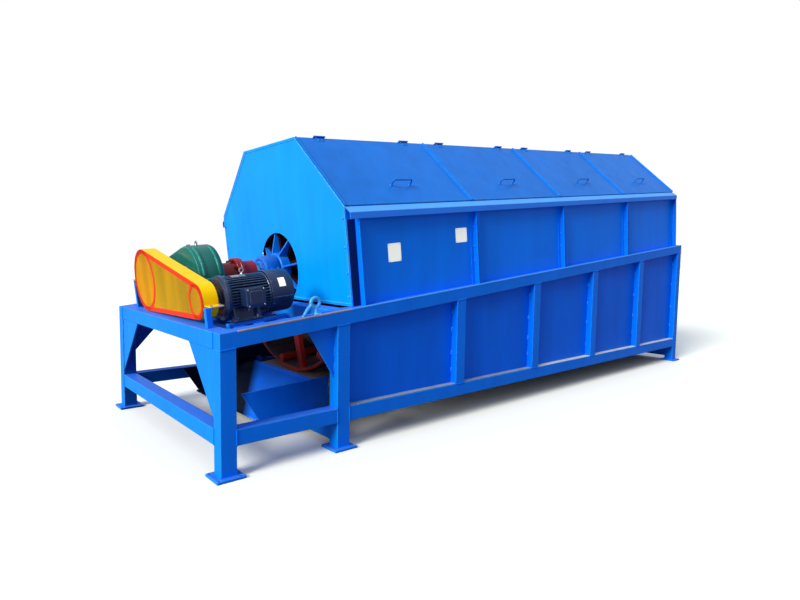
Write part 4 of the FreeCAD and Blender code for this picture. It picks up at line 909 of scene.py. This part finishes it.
# Gear case: two cast halves with round ends over the large and the small gear, a split flange,
# bosses round both shafts and a cast rib over the round end. It is enamelled green.
# Its eased edges take a bright teal: partly rubbed paint and partly a painted highlight.
gear_green = enamel("gear_green", (0.0, 0.12, 0.105), (0.02, 0.62, 0.5), drift=0.12, dust=0.0, waves=0.3,
                    coat=0.35, width=0.009, gloss=0.3)


def belt_line(first, first_radius, second, second_radius, arc=40, straight=2):
    """The line of a belt round two wheels: two arcs and the outer tangents between them."""
    gap = np.subtract(second, first)
    reach = np.hypot(*gap)
    facing = math.atan2(gap[1], gap[0])
    lean = math.acos((first_radius - second_radius) / reach)
    one = np.linspace(facing + lean, facing + 2 * math.pi - lean, arc)
    two = np.linspace(facing - lean, facing + lean, arc)
    big = np.stack([first[0] + first_radius * np.cos(one), first[1] + first_radius * np.sin(one)], -1)
    small = np.stack([second[0] + second_radius * np.cos(two), second[1] + second_radius * np.sin(two)],
                     -1)
    share = np.linspace(0, 1, straight + 1, endpoint=False)[1:, None]
    return np.concatenate([big, big[-1] + (small[0] - big[-1]) * share, small,
                           small[-1] + (big[0] - small[-1]) * share])


case_line = belt_line((0.0, AXIS), 0.25, (0.43, AXIS), 0.15)
case = [lofted(case_line, eased(0.228, 0.426, 0.022), "s")]
case.append(lofted([(-0.17, -0.03), (0.57, -0.03), (0.57, 0.2), (-0.17, 0.2)], eased(0.232, 0.422, 0.01),
                   "s"))
case.append(lofted([(-0.25, -0.03), (0.58, -0.03), (0.58, -0.008), (0.57, -0.005), (-0.24, -0.005),
                    (-0.25, -0.008)],
                   eased(0.222, 0.432, 0.005), "s"))
for n0, n1 in ((0.2362, 0.2444), (0.2456, 0.2538)):
    case.append(lofted([(0.216, -0.262), (0.438, -0.262), (0.438, 0.592), (0.216, 0.592)],
                       eased(n0, n1, 0.002), "n"))
for y, radius in ((0.0, 0.1), (0.43, 0.078)):
    for start, sign in ((0.23, -1), (0.424, 1)):
        boss = [(0, radius), (0.006, radius), (0.012, radius - 0.006), (0.012, radius * 0.72),
                (0.018, radius * 0.68), (0.018, radius * 0.5)]
        case.append(turned(boss, (start, y, AXIS), (sign, 0, 0), 40))
for y in (-0.12, 0.1, 0.28, 0.5):
    for face, lean in ((0.228, -1), (0.426, 1)):
        top = 0.232 if abs(y) > 0.05 else 0.14
        web = [(y - 0.006, -0.01), (y + 0.006, -0.01), (y + 0.006, top), (y - 0.006, top)]
        inner, outer = sorted((face, face + lean * 0.004))
        case.append(lofted(web, eased(inner - 0.002, outer + 0.002, 0.002), "s"))
for radius, centre_y, sweep in ((0.25, 0.0, np.radians(np.linspace(112, 172, 30))),
                                (0.15, 0.43, np.radians(np.linspace(8, 60, 20)))):
    for offset in (0.27, 0.385):
        path = np.stack([np.full(len(sweep), offset), centre_y + (radius + 0.004) * np.cos(sweep),
                         AXIS + (radius + 0.004) * np.sin(sweep)], -1)
        bead = [(-0.005, -0.008), (0.005, -0.008), (0.005, 0.006), (0.003, 0.008), (-0.003, 0.008),
                (-0.005, 0.006)]
        case.append(carried(bead, path, (1, 0, 0)))
piece("gear_case", case, "frame", gear_green, tip, stands_for=("reducer_housing",))
case_bolts = []
for y in (-0.252, -0.205, 0.55, 0.582):
    for s in (0.25, 0.327, 0.404):
        if y in (-0.252, 0.582):
            case_bolts += bolt((s, y, 0.2538), (0, 0, 1), 0.017, 0.01)
for y in (-0.2, -0.05, 0.12, 0.28, 0.43, 0.56):
    for s in (0.2215, 0.4325):
        case_bolts += bolt((s, y, 0.2538), (0, 0, 1), 0.011, 0.006)
for y, radius in ((0.0, 0.086), (0.43, 0.066)):
    for angle in np.arange(6) * math.pi / 3:
        for face, sign in ((0.218, -1), (0.436, 1)):
            case_bolts += bolt((face, y + radius * math.cos(angle), AXIS + radius * math.sin(angle)),
                               (sign, 0, 0), 0.012, 0.006)
for y in (-0.225, 0.56):
    for s in (0.25, 0.404):
        case_bolts += bolt((s, y, -0.005), (0, 0, 1), 0.022, 0.013)
piece("gear_case_bolts", case_bolts, "frame", gear_green, tip)
ring_angle = np.linspace(0, 2 * math.pi, 28, endpoint=False)
case_eyes = []
for y, n in ((0.0, 0.508), (0.43, 0.408)):
    path = np.stack([np.full(28, 0.327), y + 0.016 * np.cos(ring_angle), n + 0.016 * np.sin(ring_angle)],
                    -1)
    case_eyes.append(carried(circle(0.005, 8), path, (1, 0, 0), loop=True))
    case_eyes.append(turned([(0, 0.013), (0.005, 0.013), (0.007, 0.008), (0.014, 0.006)],
                            (0.327, y, n - 0.0195), (0, 0, 1), 16))
plug = turned([(0, 0.02), (0.008, 0.02), (0.01, 0.015), (0.022, 0.015), (0.026, 0.011)],
              (0.327, 0.16, 0.474), (0, 0, 1), 20)
piece("gear_case_eyes", case_eyes + [plug], "frame", bright_steel, tip)

# Coupling: two hubs whose flanges are joined by pins in rubber bushes. It is enamelled dark red.
coupling_red = enamel("coupling_red", (0.30, 0.004, 0.006), (0.7, 0.06, 0.05), drift=0.15, dust=0.03,
                      waves=0.0, coat=0.3)
hubs = []
for sign, start in ((-1, 0.6165), (1, 0.6175)):
    reach = 0.1415 if sign < 0 else 0.1425
    bore = 0.0455 if sign < 0 else 0.0602
    hub = [(0, bore), (0, 0.122), (0.004, 0.126), (0.024, 0.126), (0.029, 0.121), (0.032, 0.098),
           (0.05, 0.095), (reach - 0.006, 0.095), (reach, 0.089), (reach, bore)]
    hubs.append(turned(hub, (start, 0, AXIS), (sign, 0, 0), 48, loop=True))
for angle in np.arange(8) * math.pi / 4 + 0.2:
    y, n = 0.108 * math.cos(angle), AXIS + 0.108 * math.sin(angle)
    hubs.append(turned([(0, 0.017), (0.012, 0.017), (0.015, 0.014)], (0.588, y, n), (-1, 0, 0), 16))
    hubs += bolt((0.646, y, n), (1, 0, 0), 0.02, 0.012)
piece("coupling_halves", hubs, "drum", coupling_red, tip, stands_for=("coupling",))

# Motor: cast barrel with cooling fins, end shield, terminal box, feet on slide rails and a sheet cowl.
motor_navy = enamel("motor_navy", (0.009, 0.024, 0.085), (0.12, 0.24, 0.5), drift=0.2, dust=0.02,
                    waves=0.15, coat=0.4, width=0.004, gloss=0.35)
MOTOR_Y, MOTOR_N = -0.592, 0.15
fin_count = 44
turns = np.arange(fin_count) * 2 * math.pi / fin_count
quarter_step = 2 * math.pi / fin_count / 4
fin_angles = (turns[:, None] + np.array([-1.6, -0.55, 0.55, 1.6]) * quarter_step).ravel()
fin_radii = np.tile([0.119, 0.140, 0.140, 0.119], fin_count)
comb = np.stack([MOTOR_Y + fin_radii * np.cos(fin_angles), MOTOR_N + fin_radii * np.sin(fin_angles)], -1)
barrel = skin_of(np.stack([np.stack([np.full(len(comb), s), comb[:, 0], comb[:, 1]], -1)
                           for s in (0.243, 0.38, 0.522)]))
shield = turned([(0.0, 0.024), (0.0, 0.05), (0.006, 0.056), (0.012, 0.058), (0.014, 0.09), (0.008, 0.1),
                 (0.006, 0.128), (0.010, 0.134), (0.014, 0.142), (0.018, 0.150), (0.038, 0.150),
                 (0.044, 0.146), (0.046, 0.138), (0.052, 0.131), (0.06, 0.128), (0.06, 0.024)],
                (0.195, MOTOR_Y, MOTOR_N), (1, 0, 0), 64, loop=True)
rear_shield = turned([(0.515, 0.03), (0.515, 0.136), (0.519, 0.141), (0.527, 0.141), (0.530, 0.136),
                      (0.530, 0.03)],
                     (0, MOTOR_Y, MOTOR_N), (1, 0, 0), 64, loop=True)
motor = [barrel, shield, rear_shield]
for flip in (-1, 1):
    y = MOTOR_Y + flip * 0.125
    foot = [(y - 0.028, -0.01), (y + 0.028, -0.01), (y + 0.028, 0.004), (y + 0.022, 0.009),
            (y - 0.022, 0.009), (y - 0.028, 0.004)]
    motor.append(lofted(foot, eased(0.232, 0.44, 0.004), "s"))
    for s in (0.255, 0.418):
        web = [(MOTOR_Y + flip * 0.148, 0.0), (MOTOR_Y + flip * 0.148, 0.01),
               (MOTOR_Y + flip * 0.122, 0.085),
               (MOTOR_Y + flip * 0.07, 0.06), (MOTOR_Y + flip * 0.085, 0.0)]
        motor.append(lofted(web, eased(s - 0.011, s + 0.011, 0.003), "s"))
    skirt = [(MOTOR_Y + flip * 0.118, 0.0), (MOTOR_Y + flip * 0.108, 0.078),
             (MOTOR_Y + flip * 0.096, 0.078), (MOTOR_Y + flip * 0.104, 0.0)]
    motor.append(lofted(skirt, eased(0.25, 0.42, 0.003), "s"))
for angle in np.radians((50, 130, 230, 310)):
    y, n = MOTOR_Y + 0.139 * math.cos(angle), MOTOR_N + 0.139 * math.sin(angle)
    motor.append(turned([(0, 0.013), (0.026, 0.013), (0.03, 0.01)], (0.22, y, n), (1, 0, 0), 14))
piece("motor_body", motor, "frame", motor_navy, tip, stands_for=("motor_housing",))

BOX_MIDDLE = 0.3625
box_line = [(BOX_MIDDLE - 0.0625, 0.0895), (BOX_MIDDLE + 0.0625, 0.0895), (BOX_MIDDLE + 0.0625, 0.2105),
            (BOX_MIDDLE - 0.0625, 0.2105)]


def rounded(corners, radius, steps=4):
    """The outline with each corner replaced by a curve whose tangents run along both edges."""
    corners = np.asarray(corners, float)
    back = np.roll(corners, 1, 0) - corners
    back /= np.linalg.norm(back, axis=1, keepdims=True)
    on = np.roll(corners, -1, 0) - corners
    on /= np.linalg.norm(on, axis=1, keepdims=True)
    share = np.linspace(0, 1, steps + 1)[None, :, None]
    start, end = corners + back * radius, corners + on * radius
    curve = (1 - share) ** 2 * start[:, None] + 2 * share * (1 - share) * corners[:, None] \
        + share ** 2 * end[:, None]
    return curve.reshape(-1, 2)


terminal = [lofted(rounded(box_line, 0.012), [(-0.7, 0.012), (-0.722, 0.0), (-0.8105, 0.0),
                                              (-0.8125, 0.002)], "y"),
            lofted(rounded(box_line, 0.014), [(-0.813, -0.003), (-0.8145, -0.0045), (-0.8235, -0.0045),
                                              (-0.8262, -0.001), (-0.828, 0.003)], "y")]
inner_line = rounded([(BOX_MIDDLE - 0.044, 0.108), (BOX_MIDDLE + 0.044, 0.108),
                      (BOX_MIDDLE + 0.044, 0.192), (BOX_MIDDLE - 0.044, 0.192)], 0.01)
terminal.append(lofted(inner_line, [(-0.8265, 0), (-0.8287, 0), (-0.83, 0.002)], "y"))
for s in (BOX_MIDDLE - 0.028, BOX_MIDDLE + 0.028):
    gland = [(0, 0.017), (0.01, 0.017), (0.011, 0.0145), (0.026, 0.0145), (0.029, 0.012), (0.03, 0.007)]
    terminal.append(turned(gland, (s, -0.775, 0.0905), (0, 0, -1), 6 + 12))
piece("terminal_case", terminal, "frame", motor_navy, tip, stands_for=("terminal_box",))
screws = []
for s in (BOX_MIDDLE - 0.054, BOX_MIDDLE + 0.054):
    for n in (0.098, 0.202):
        screws += bolt((s, -0.8265, n), (0, -1, 0), 0.011, 0.004)
for flip in (-1, 1):
    for s in (0.262, 0.41):
        screws += bolt((s, MOTOR_Y + flip * 0.133, 0.009), (0, 0, 1), 0.02, 0.012)
hook = np.stack([0.385 + 0.014 * np.cos(ring_angle), np.full(28, MOTOR_Y),
                 0.316 + 0.014 * np.sin(ring_angle)], -1)
screws.append(carried(circle(0.0048, 10), hook, (0, 1, 0), loop=True))
screws.append(turned([(0, 0.014), (0.005, 0.014), (0.008, 0.009), (0.016, 0.006)],
                     (0.385, MOTOR_Y, 0.286), (0, 0, 1), 18))
piece("motor_screws", screws, "frame", bright_steel, tip)
cowl = [turned([(0.526, 0.146), (0.526, 0.149), (0.528, 0.15), (0.68, 0.15), (0.69, 0.148),
                (0.697, 0.142),
                (0.7, 0.133), (0.7, 0.126), (0.6975, 0.126), (0.6975, 0.132), (0.694, 0.14),
                (0.688, 0.1455),
                (0.68, 0.147), (0.53, 0.147)], (0, MOTOR_Y, MOTOR_N), (1, 0, 0), 72, loop=True)]
for radius in (0.03, 0.049, 0.068, 0.087, 0.106):
    cowl.append(turned([(0.6965, radius - 0.004), (0.6995, radius - 0.004), (0.6995, radius + 0.004),
                        (0.6965, radius + 0.004)], (0, MOTOR_Y, MOTOR_N), (1, 0, 0), 48, loop=True))
for angle in np.arange(6) * math.pi / 3:
    one = (0.698, MOTOR_Y + 0.024 * math.cos(angle), MOTOR_N + 0.024 * math.sin(angle))
    two = (0.698, MOTOR_Y + 0.129 * math.cos(angle), MOTOR_N + 0.129 * math.sin(angle))
    cowl.append(flat_bar(0.007, 0.003, one, two, (1, 0, 0), 0.0008))
cowl.append(turned([(0.6955, 0.0), (0.6955, 0.026), (0.6998, 0.026), (0.6998, 0.0)],
                   (0, MOTOR_Y, MOTOR_N), (1, 0, 0), 32, caps=False))
seam_angle = math.radians(193)
seam_place = (MOTOR_Y + 0.1502 * math.cos(seam_angle), MOTOR_N + 0.1502 * math.sin(seam_angle))
cowl.append(flat_bar(0.003, 0.007, (0.532, *seam_place), (0.68, *seam_place), (0, 0, 1), 0.0008))
for s, angle in ((0.54, 150), (0.54, 210), (0.54, 30)):
    turned_to = (math.cos(math.radians(angle)), math.sin(math.radians(angle)))
    cowl += bolt((s, MOTOR_Y + 0.15 * turned_to[0], MOTOR_N + 0.15 * turned_to[1]), (0, *turned_to),
                 0.011, 0.005)
piece("motor_fan_cowl", cowl, "frame", motor_navy, tip, stands_for=("motor_cowl",))


def curved_plate(s0, s1, angle0, angle1, radius, thick=0.0012):
    """A thin plate bent round the cowl: angle and place along s on a grid, at two radii."""
    angle = np.radians(np.linspace(angle0, angle1, 10))
    rows = []
    for r, s in ((radius, s0), (radius + thick, s0), (radius + thick, s1), (radius, s1)):
        rows.append(np.stack([np.full(10, s), MOTOR_Y + r * np.cos(angle), MOTOR_N + r * np.sin(angle)],
                             -1))
    return skin_of(np.stack(rows, 1))


piece("cowl_plate", [curved_plate(0.585, 0.635, 141, 166, 0.15)], "frame", glowing_tin_white, tip)
piece("motor_plate", [curved_plate(0.29, 0.39, 96, 112, 0.1405)], "frame", bright_steel,
      tip)

# Belt guard: a yellow sheet band round both pulleys, faced with expanded metal that an
# orange-red flat rim holds. Two angle posts carry it by folded tabs.
guard_yellow = enamel("guard_yellow", (0.95, 0.57, 0.0), (1.0, 0.8, 0.12), drift=0.05, dust=0.02,
                      waves=0.15, gloss=0.08)
rim_red = enamel("rim_red", (0.9, 0.04, 0.004), (1.0, 0.14, 0.02), drift=0.06, dust=0.02, waves=0.0,
                 width=0.003, gloss=0.1)
mesh_gold = enamel("mesh_gold", (0.95, 0.52, 0.008), (1.0, 0.75, 0.1), drift=0.2, dust=0.0, waves=0.0,
                   width=0.0006)
dress(guard_yellow, "belt_guard")
LARGE, SMALL = (0.43, AXIS), (MOTOR_Y, MOTOR_N)
back_line = belt_line(LARGE, 0.234, SMALL, 0.114, 60)
back_path = np.stack([np.full(len(back_line), 0.149), back_line[:, 0], back_line[:, 1]], -1)
hem = [(-0.0015, -0.006), (0.0015, -0.006), (0.0015, 0.006), (-0.0015, 0.006)]
piece("guard_hem", [carried(hem, back_path, (1, 0, 0), loop=True)], "frame", guard_yellow,
      tip)

rim_runs = []
for line, width in ((belt_line(LARGE, 0.2225, SMALL, 0.1025, 60), 0.035),
                    (np.asarray(LARGE) + circle(0.225, 64), 0.03),
                    (np.asarray(SMALL) + circle(0.1075, 48), 0.025)):
    half, ease = width / 2, 0.0006
    strip = [(-half + ease, -0.0015), (half - ease, -0.0015), (half, -0.0009), (half, 0.0009),
             (half - ease, 0.0015), (-half + ease, 0.0015), (-half, 0.0009), (-half, -0.0009)]
    path = np.column_stack([np.full(len(line), 0.0555), line])
    rim_runs.append(carried(strip, path, (1, 0, 0), loop=True))
piece("guard_flat_rim", rim_runs, "frame", rim_red, tip, stands_for=("guard_rim",))


def out_of_belt(y, n, grow):
    """Distance of points outside a belt line that is grown or shrunk by grow; negative inside."""
    reach = math.hypot(SMALL[0] - LARGE[0], SMALL[1] - LARGE[1])
    along = np.array([SMALL[0] - LARGE[0], SMALL[1] - LARGE[1]]) / reach
    py, pn = y - LARGE[0], n - LARGE[1]
    up_line = py * along[0] + pn * along[1]
    aside = np.abs(py * along[1] - pn * along[0])
    taper = (0.24 - 0.12) / reach
    keep = math.sqrt(1 - taper ** 2)
    share = up_line * keep - aside * taper
    big = np.hypot(aside, up_line) - 0.24
    small = np.hypot(aside, up_line - reach) - 0.12
    side = aside * keep + up_line * taper - 0.24
    return np.where(share < 0, big, np.where(share > keep * reach, small, side)) - grow


strands = []
pitch, rise_of = 0.013, 0.0088
for number, n_line in enumerate(np.arange(0.01, 0.49, rise_of)):
    y_line = np.arange(-0.72, 0.68, pitch / 2)
    wave = np.where((np.arange(len(y_line)) + number) % 2 == 0, 0.5, -0.5) * rise_of
    inside = out_of_belt(y_line, n_line + wave, -0.012) < 0
    if inside.sum() < 4:
        continue
    path = np.stack([np.full(inside.sum(), 0.0582), y_line[inside], (n_line + wave)[inside]], -1)
    strands.append(carried([(-0.0009, -0.0016), (0.0009, -0.0016), (0.0009, 0.0016), (-0.0009, 0.0016)],
                           path, (1, 0, 0)))
piece("guard_expanded_metal", strands, "frame", mesh_gold, tip, stands_for=("guard_mesh",))
tab_bolts = []
for y, n, places in ((-0.788, 0.13, (0.075, 0.13)), (0.8, 0.235, (0.1, 0.135))):
    for s in places:
        tab_bolts += bolt((s, y, n), (0, 0, 1), 0.015, 0.009)
piece("guard_bolts", tab_bolts, "frame", bright_steel, tip)

# Pulleys: cast wheels with five grooves, a thin web and a hub that is wider than the web.
pulley_orange = enamel("pulley_orange", (0.78, 0.2, 0.008), (0.9, 0.4, 0.08), drift=0.3, dust=0.05,
                       waves=0.0)


def grooved(radius, hub_radius, centre, bore):
    """Turned outline: five V grooves across the rim, then a thin web and the hub."""
    start, width = 0.0775, 0.06
    step = width / 5
    rim_line = [(start, radius - 0.03), (start, radius)]
    for k in range(5):
        rim_line += [(start + step * (k + 0.12), radius), (start + step * (k + 0.35), radius - 0.011),
                     (start + step * (k + 0.65), radius - 0.011), (start + step * (k + 0.88), radius)]
    rim_line += [(start + width, radius), (start + width, radius - 0.03), (start + 0.042, radius - 0.034),
                 (start + 0.04, hub_radius + 0.01), (start + 0.052, hub_radius),
                 (start + 0.056, bore + 0.0003),
                 (start + 0.002, bore + 0.0003), (start + 0.006, hub_radius),
                 (start + 0.022, hub_radius + 0.01), (start + 0.02, radius - 0.034)]
    return turned(rim_line, (0, *centre), (1, 0, 0), 72, loop=True)


shaft_large = turned([(0.0772, 0.026), (0.079, 0.03), (0.2515, 0.03)], (0, *LARGE), (1, 0, 0), 32)
shaft_small = turned([(0.0772, 0.018), (0.079, 0.021), (0.2245, 0.021)], (0, *SMALL), (1, 0, 0), 32)
piece("input_pulley", [grooved(0.2, 0.06, LARGE, 0.03)], "input_wheel", pulley_orange, tip,
      stands_for=("large_pulley",))
piece("input_shaft_end", [shaft_large], "input_wheel", bright_steel, tip)
piece("motor_pulley", [grooved(0.08, 0.04, SMALL, 0.021)], "motor_rotor", pulley_orange,
      tip, stands_for=("small_pulley",))
piece("motor_shaft_end", [shaft_small], "motor_rotor", bright_steel, tip)

# Belts: five wedge belts of black rubber with a woven wrap, run in the pulley grooves.
belt_black, tree, belt_skin = plain("belt_black")
belt_weave = noise(tree, wire(tree, "ShaderNodeTexCoord").outputs["Object"], 420.0, 2.0)
belt_bump = wire(tree, "ShaderNodeBump", {"Strength": 0.4, "Distance": 0.0005, "Height": belt_weave})
belt_skin.inputs["Roughness"].default_value = 0.75
tree.links.new(blend(tree, belt_weave, (0.012, 0.012, 0.013, 1), (0.05, 0.05, 0.052, 1)),
               belt_skin.inputs["Base Color"])
tree.links.new(belt_bump.outputs[0], belt_skin.inputs["Normal"])
wedge = [(-0.0022, -0.0045), (-0.0022, 0.0045), (0.0085, 0.0026), (0.0085, -0.0026)]
belts = []
run = belt_line(LARGE, 0.2, SMALL, 0.08, 60)
for k in range(5):
    path = np.column_stack([np.full(len(run), 0.0775 + 0.012 * (k + 0.5)), run])
    belts.append(carried(wedge, path, (1, 0, 0), loop=True))
piece("wedge_belts", belts, "frame", belt_black, tip, stands_for=("drive_belts",))

# Drum: a through shaft with three spiders, long pipes, hoops and perforated screen plates,
# primed red oxide and dusty inside. Its hub gussets at the drive end are sprayed blue.
primer_red = enamel("primer_red", (0.46, 0.024, 0.018), (0.75, 0.12, 0.08), drift=0.2, dust=0.15,
                    waves=0.1, coat=0.1)
dress(primer_red, "drum_hoops", "spider_middle", "spider_rear")
pipe_red = enamel("pipe_red", (0.62, 0.035, 0.012), (0.9, 0.2, 0.08), drift=0.15, dust=0.1, waves=0.0,
                  coat=0.1)
dress(pipe_red, "drum_pipes")
dress(bright_steel, "drum_shaft", "output_shaft")
screen_metal, tree, skin = plain("perforated_plate")
DRUM_PLACE = group_of("places about the drum", {},
                      {"Along": "Float", "Aside": "Float", "Height": "Float"})


def fill_drum_place(tree):
    """Along the drum, to its left and above its axis: the place moved back and turned down by the slope."""
    place = wire(tree, "ShaderNodeTexCoord").outputs["Object"]
    back = (-DRIVE_END, 0, -RAIL_TOP)
    moved = wire(tree, "ShaderNodeMapping", {"Vector": place, "Location": back}).outputs[0]
    turned_back = wire(tree, "ShaderNodeMapping", {"Vector": moved, "Rotation": (0, SLOPE, 0)}).outputs[0]
    split = wire(tree, "ShaderNodeSeparateXYZ", {0: turned_back}).outputs
    wire(tree, "NodeGroupOutput", {"Along": split[0], "Aside": split[1],
                                   "Height": calc(tree, "SUBTRACT", split[2], AXIS)})


fill_drum_place(DRUM_PLACE)


def fill_screen(tree, skin, hole=0.006, pitch_of=0.021):
    """Round holes in rows: the nearest centre of two lattices, laid on the unrolled drum."""
    place = wire(tree, "ShaderNodeTexCoord").outputs["Object"]
    about = wire(tree, "ShaderNodeGroup", node_tree=DRUM_PLACE).outputs
    row_pitch = pitch_of * math.sqrt(3)
    rows = round(2 * math.pi * 0.853 / row_pitch)
    angle = calc(tree, "ARCTAN2", about["Height"], about["Aside"])
    around = calc(tree, "MULTIPLY", angle, rows / (2 * math.pi))
    lengthwise = calc(tree, "MULTIPLY", about["Along"], 1 / pitch_of)
    nearest = []
    for shift in (0.0, 0.5):
        parts = {}
        for number, (source, scale) in enumerate(((lengthwise, pitch_of), (around, row_pitch))):
            left = calc(tree, "MODULO", calc(tree, "ADD", source, shift + 100), 1.0)
            parts[number] = calc(tree, "MULTIPLY", calc(tree, "SUBTRACT", left, 0.5), scale)
        joined = wire(tree, "ShaderNodeCombineXYZ", parts).outputs[0]
        nearest.append(wire(tree, "ShaderNodeVectorMath", {0: joined},
                            operation="LENGTH").outputs["Value"])
    solid = calc(tree, "GREATER_THAN", calc(tree, "MINIMUM", *nearest), hole)
    grime = noise(tree, place, 4.0, 7.0, 0.65)
    tone = blend(tree, grime, (0.10, 0.035, 0.03, 1), (0.28, 0.2, 0.19, 1))
    bump = wire(tree, "ShaderNodeBump", {"Strength": 0.4, "Distance": 0.002, "Height": grime}).outputs[0]
    skin.inputs["Roughness"].default_value = 0.62
    for source, key in ((tone, "Base Color"), (solid, "Alpha"), (bump, "Normal")):
        tree.links.new(source, skin.inputs[key])


fill_screen(tree, skin)
dress(screen_metal, "drum_screen")
spider_red_dark_hub = enamel("spider_red_dark_hub", (0.42, 0.02, 0.016), (0.6, 0.08, 0.06), drift=0.2, dust=0.05, waves=0.0)
tree = spider_red_dark_hub.node_tree
about = wire(tree, "ShaderNodeGroup", node_tree=DRUM_PLACE).outputs
across_axis = wire(tree, "ShaderNodeCombineXYZ", {0: about["Aside"], 1: about["Height"]}).outputs[0]
distance = wire(tree, "ShaderNodeVectorMath", {0: across_axis}, operation="LENGTH").outputs["Value"]
# Towards the hub the red is painted almost black: painted shade for the middle of the spider, deep inside the
# hood.
darken(spider_red_dark_hub, ramp(tree, distance, 0.36, 0.5, 0.03))
dress(spider_red_dark_hub, "spider_front")
gussets = []
hub_blue = enamel("hub_blue", (0.0, 0.17, 0.8), (0.12, 0.45, 1.0), dust=0.1, waves=0.0)
for number in range(8):
    angle = math.radians(35 + 45 * number)
    out = np.array([0.0, -math.sin(angle), math.cos(angle)])
    side = np.array([0.0, math.cos(angle), math.sin(angle)])
    blade = np.array([(1.0352, 0.128), (1.0352, 0.30), (1.018, 0.30), (0.962, 0.15), (0.962, 0.128)])
    centre_line = np.array([0.0, 0.0, AXIS]) + blade[:, :1] * (1, 0, 0) + blade[:, 1:] * out
    gussets.append(skin_of(np.stack([centre_line - side * 0.006, centre_line + side * 0.006])))
gussets.append(turned([(0.955, 0.0605), (0.955, 0.126), (0.96, 0.131), (1.0352, 0.131), (1.0352, 0.0605)],
                      (0, 0, AXIS), (1, 0, 0), 40, loop=True))
piece("hub_gussets", gussets, "drum", hub_blue, tip)
pipe_caps = []
for number in range(8):
    angle = math.radians(35 + 22.5 + 45 * number)
    centre = (1.0352, -0.8157 * math.sin(angle), AXIS + 0.8157 * math.cos(angle))
    pipe_caps.append(turned([(0, 0.0335), (0.004, 0.0325), (0.006, 0.029), (0.006, 0.0)], centre,
                            (-1, 0, 0), 28, caps=False))
piece("pipe_caps", pipe_caps, "drum", pipe_red, tip)
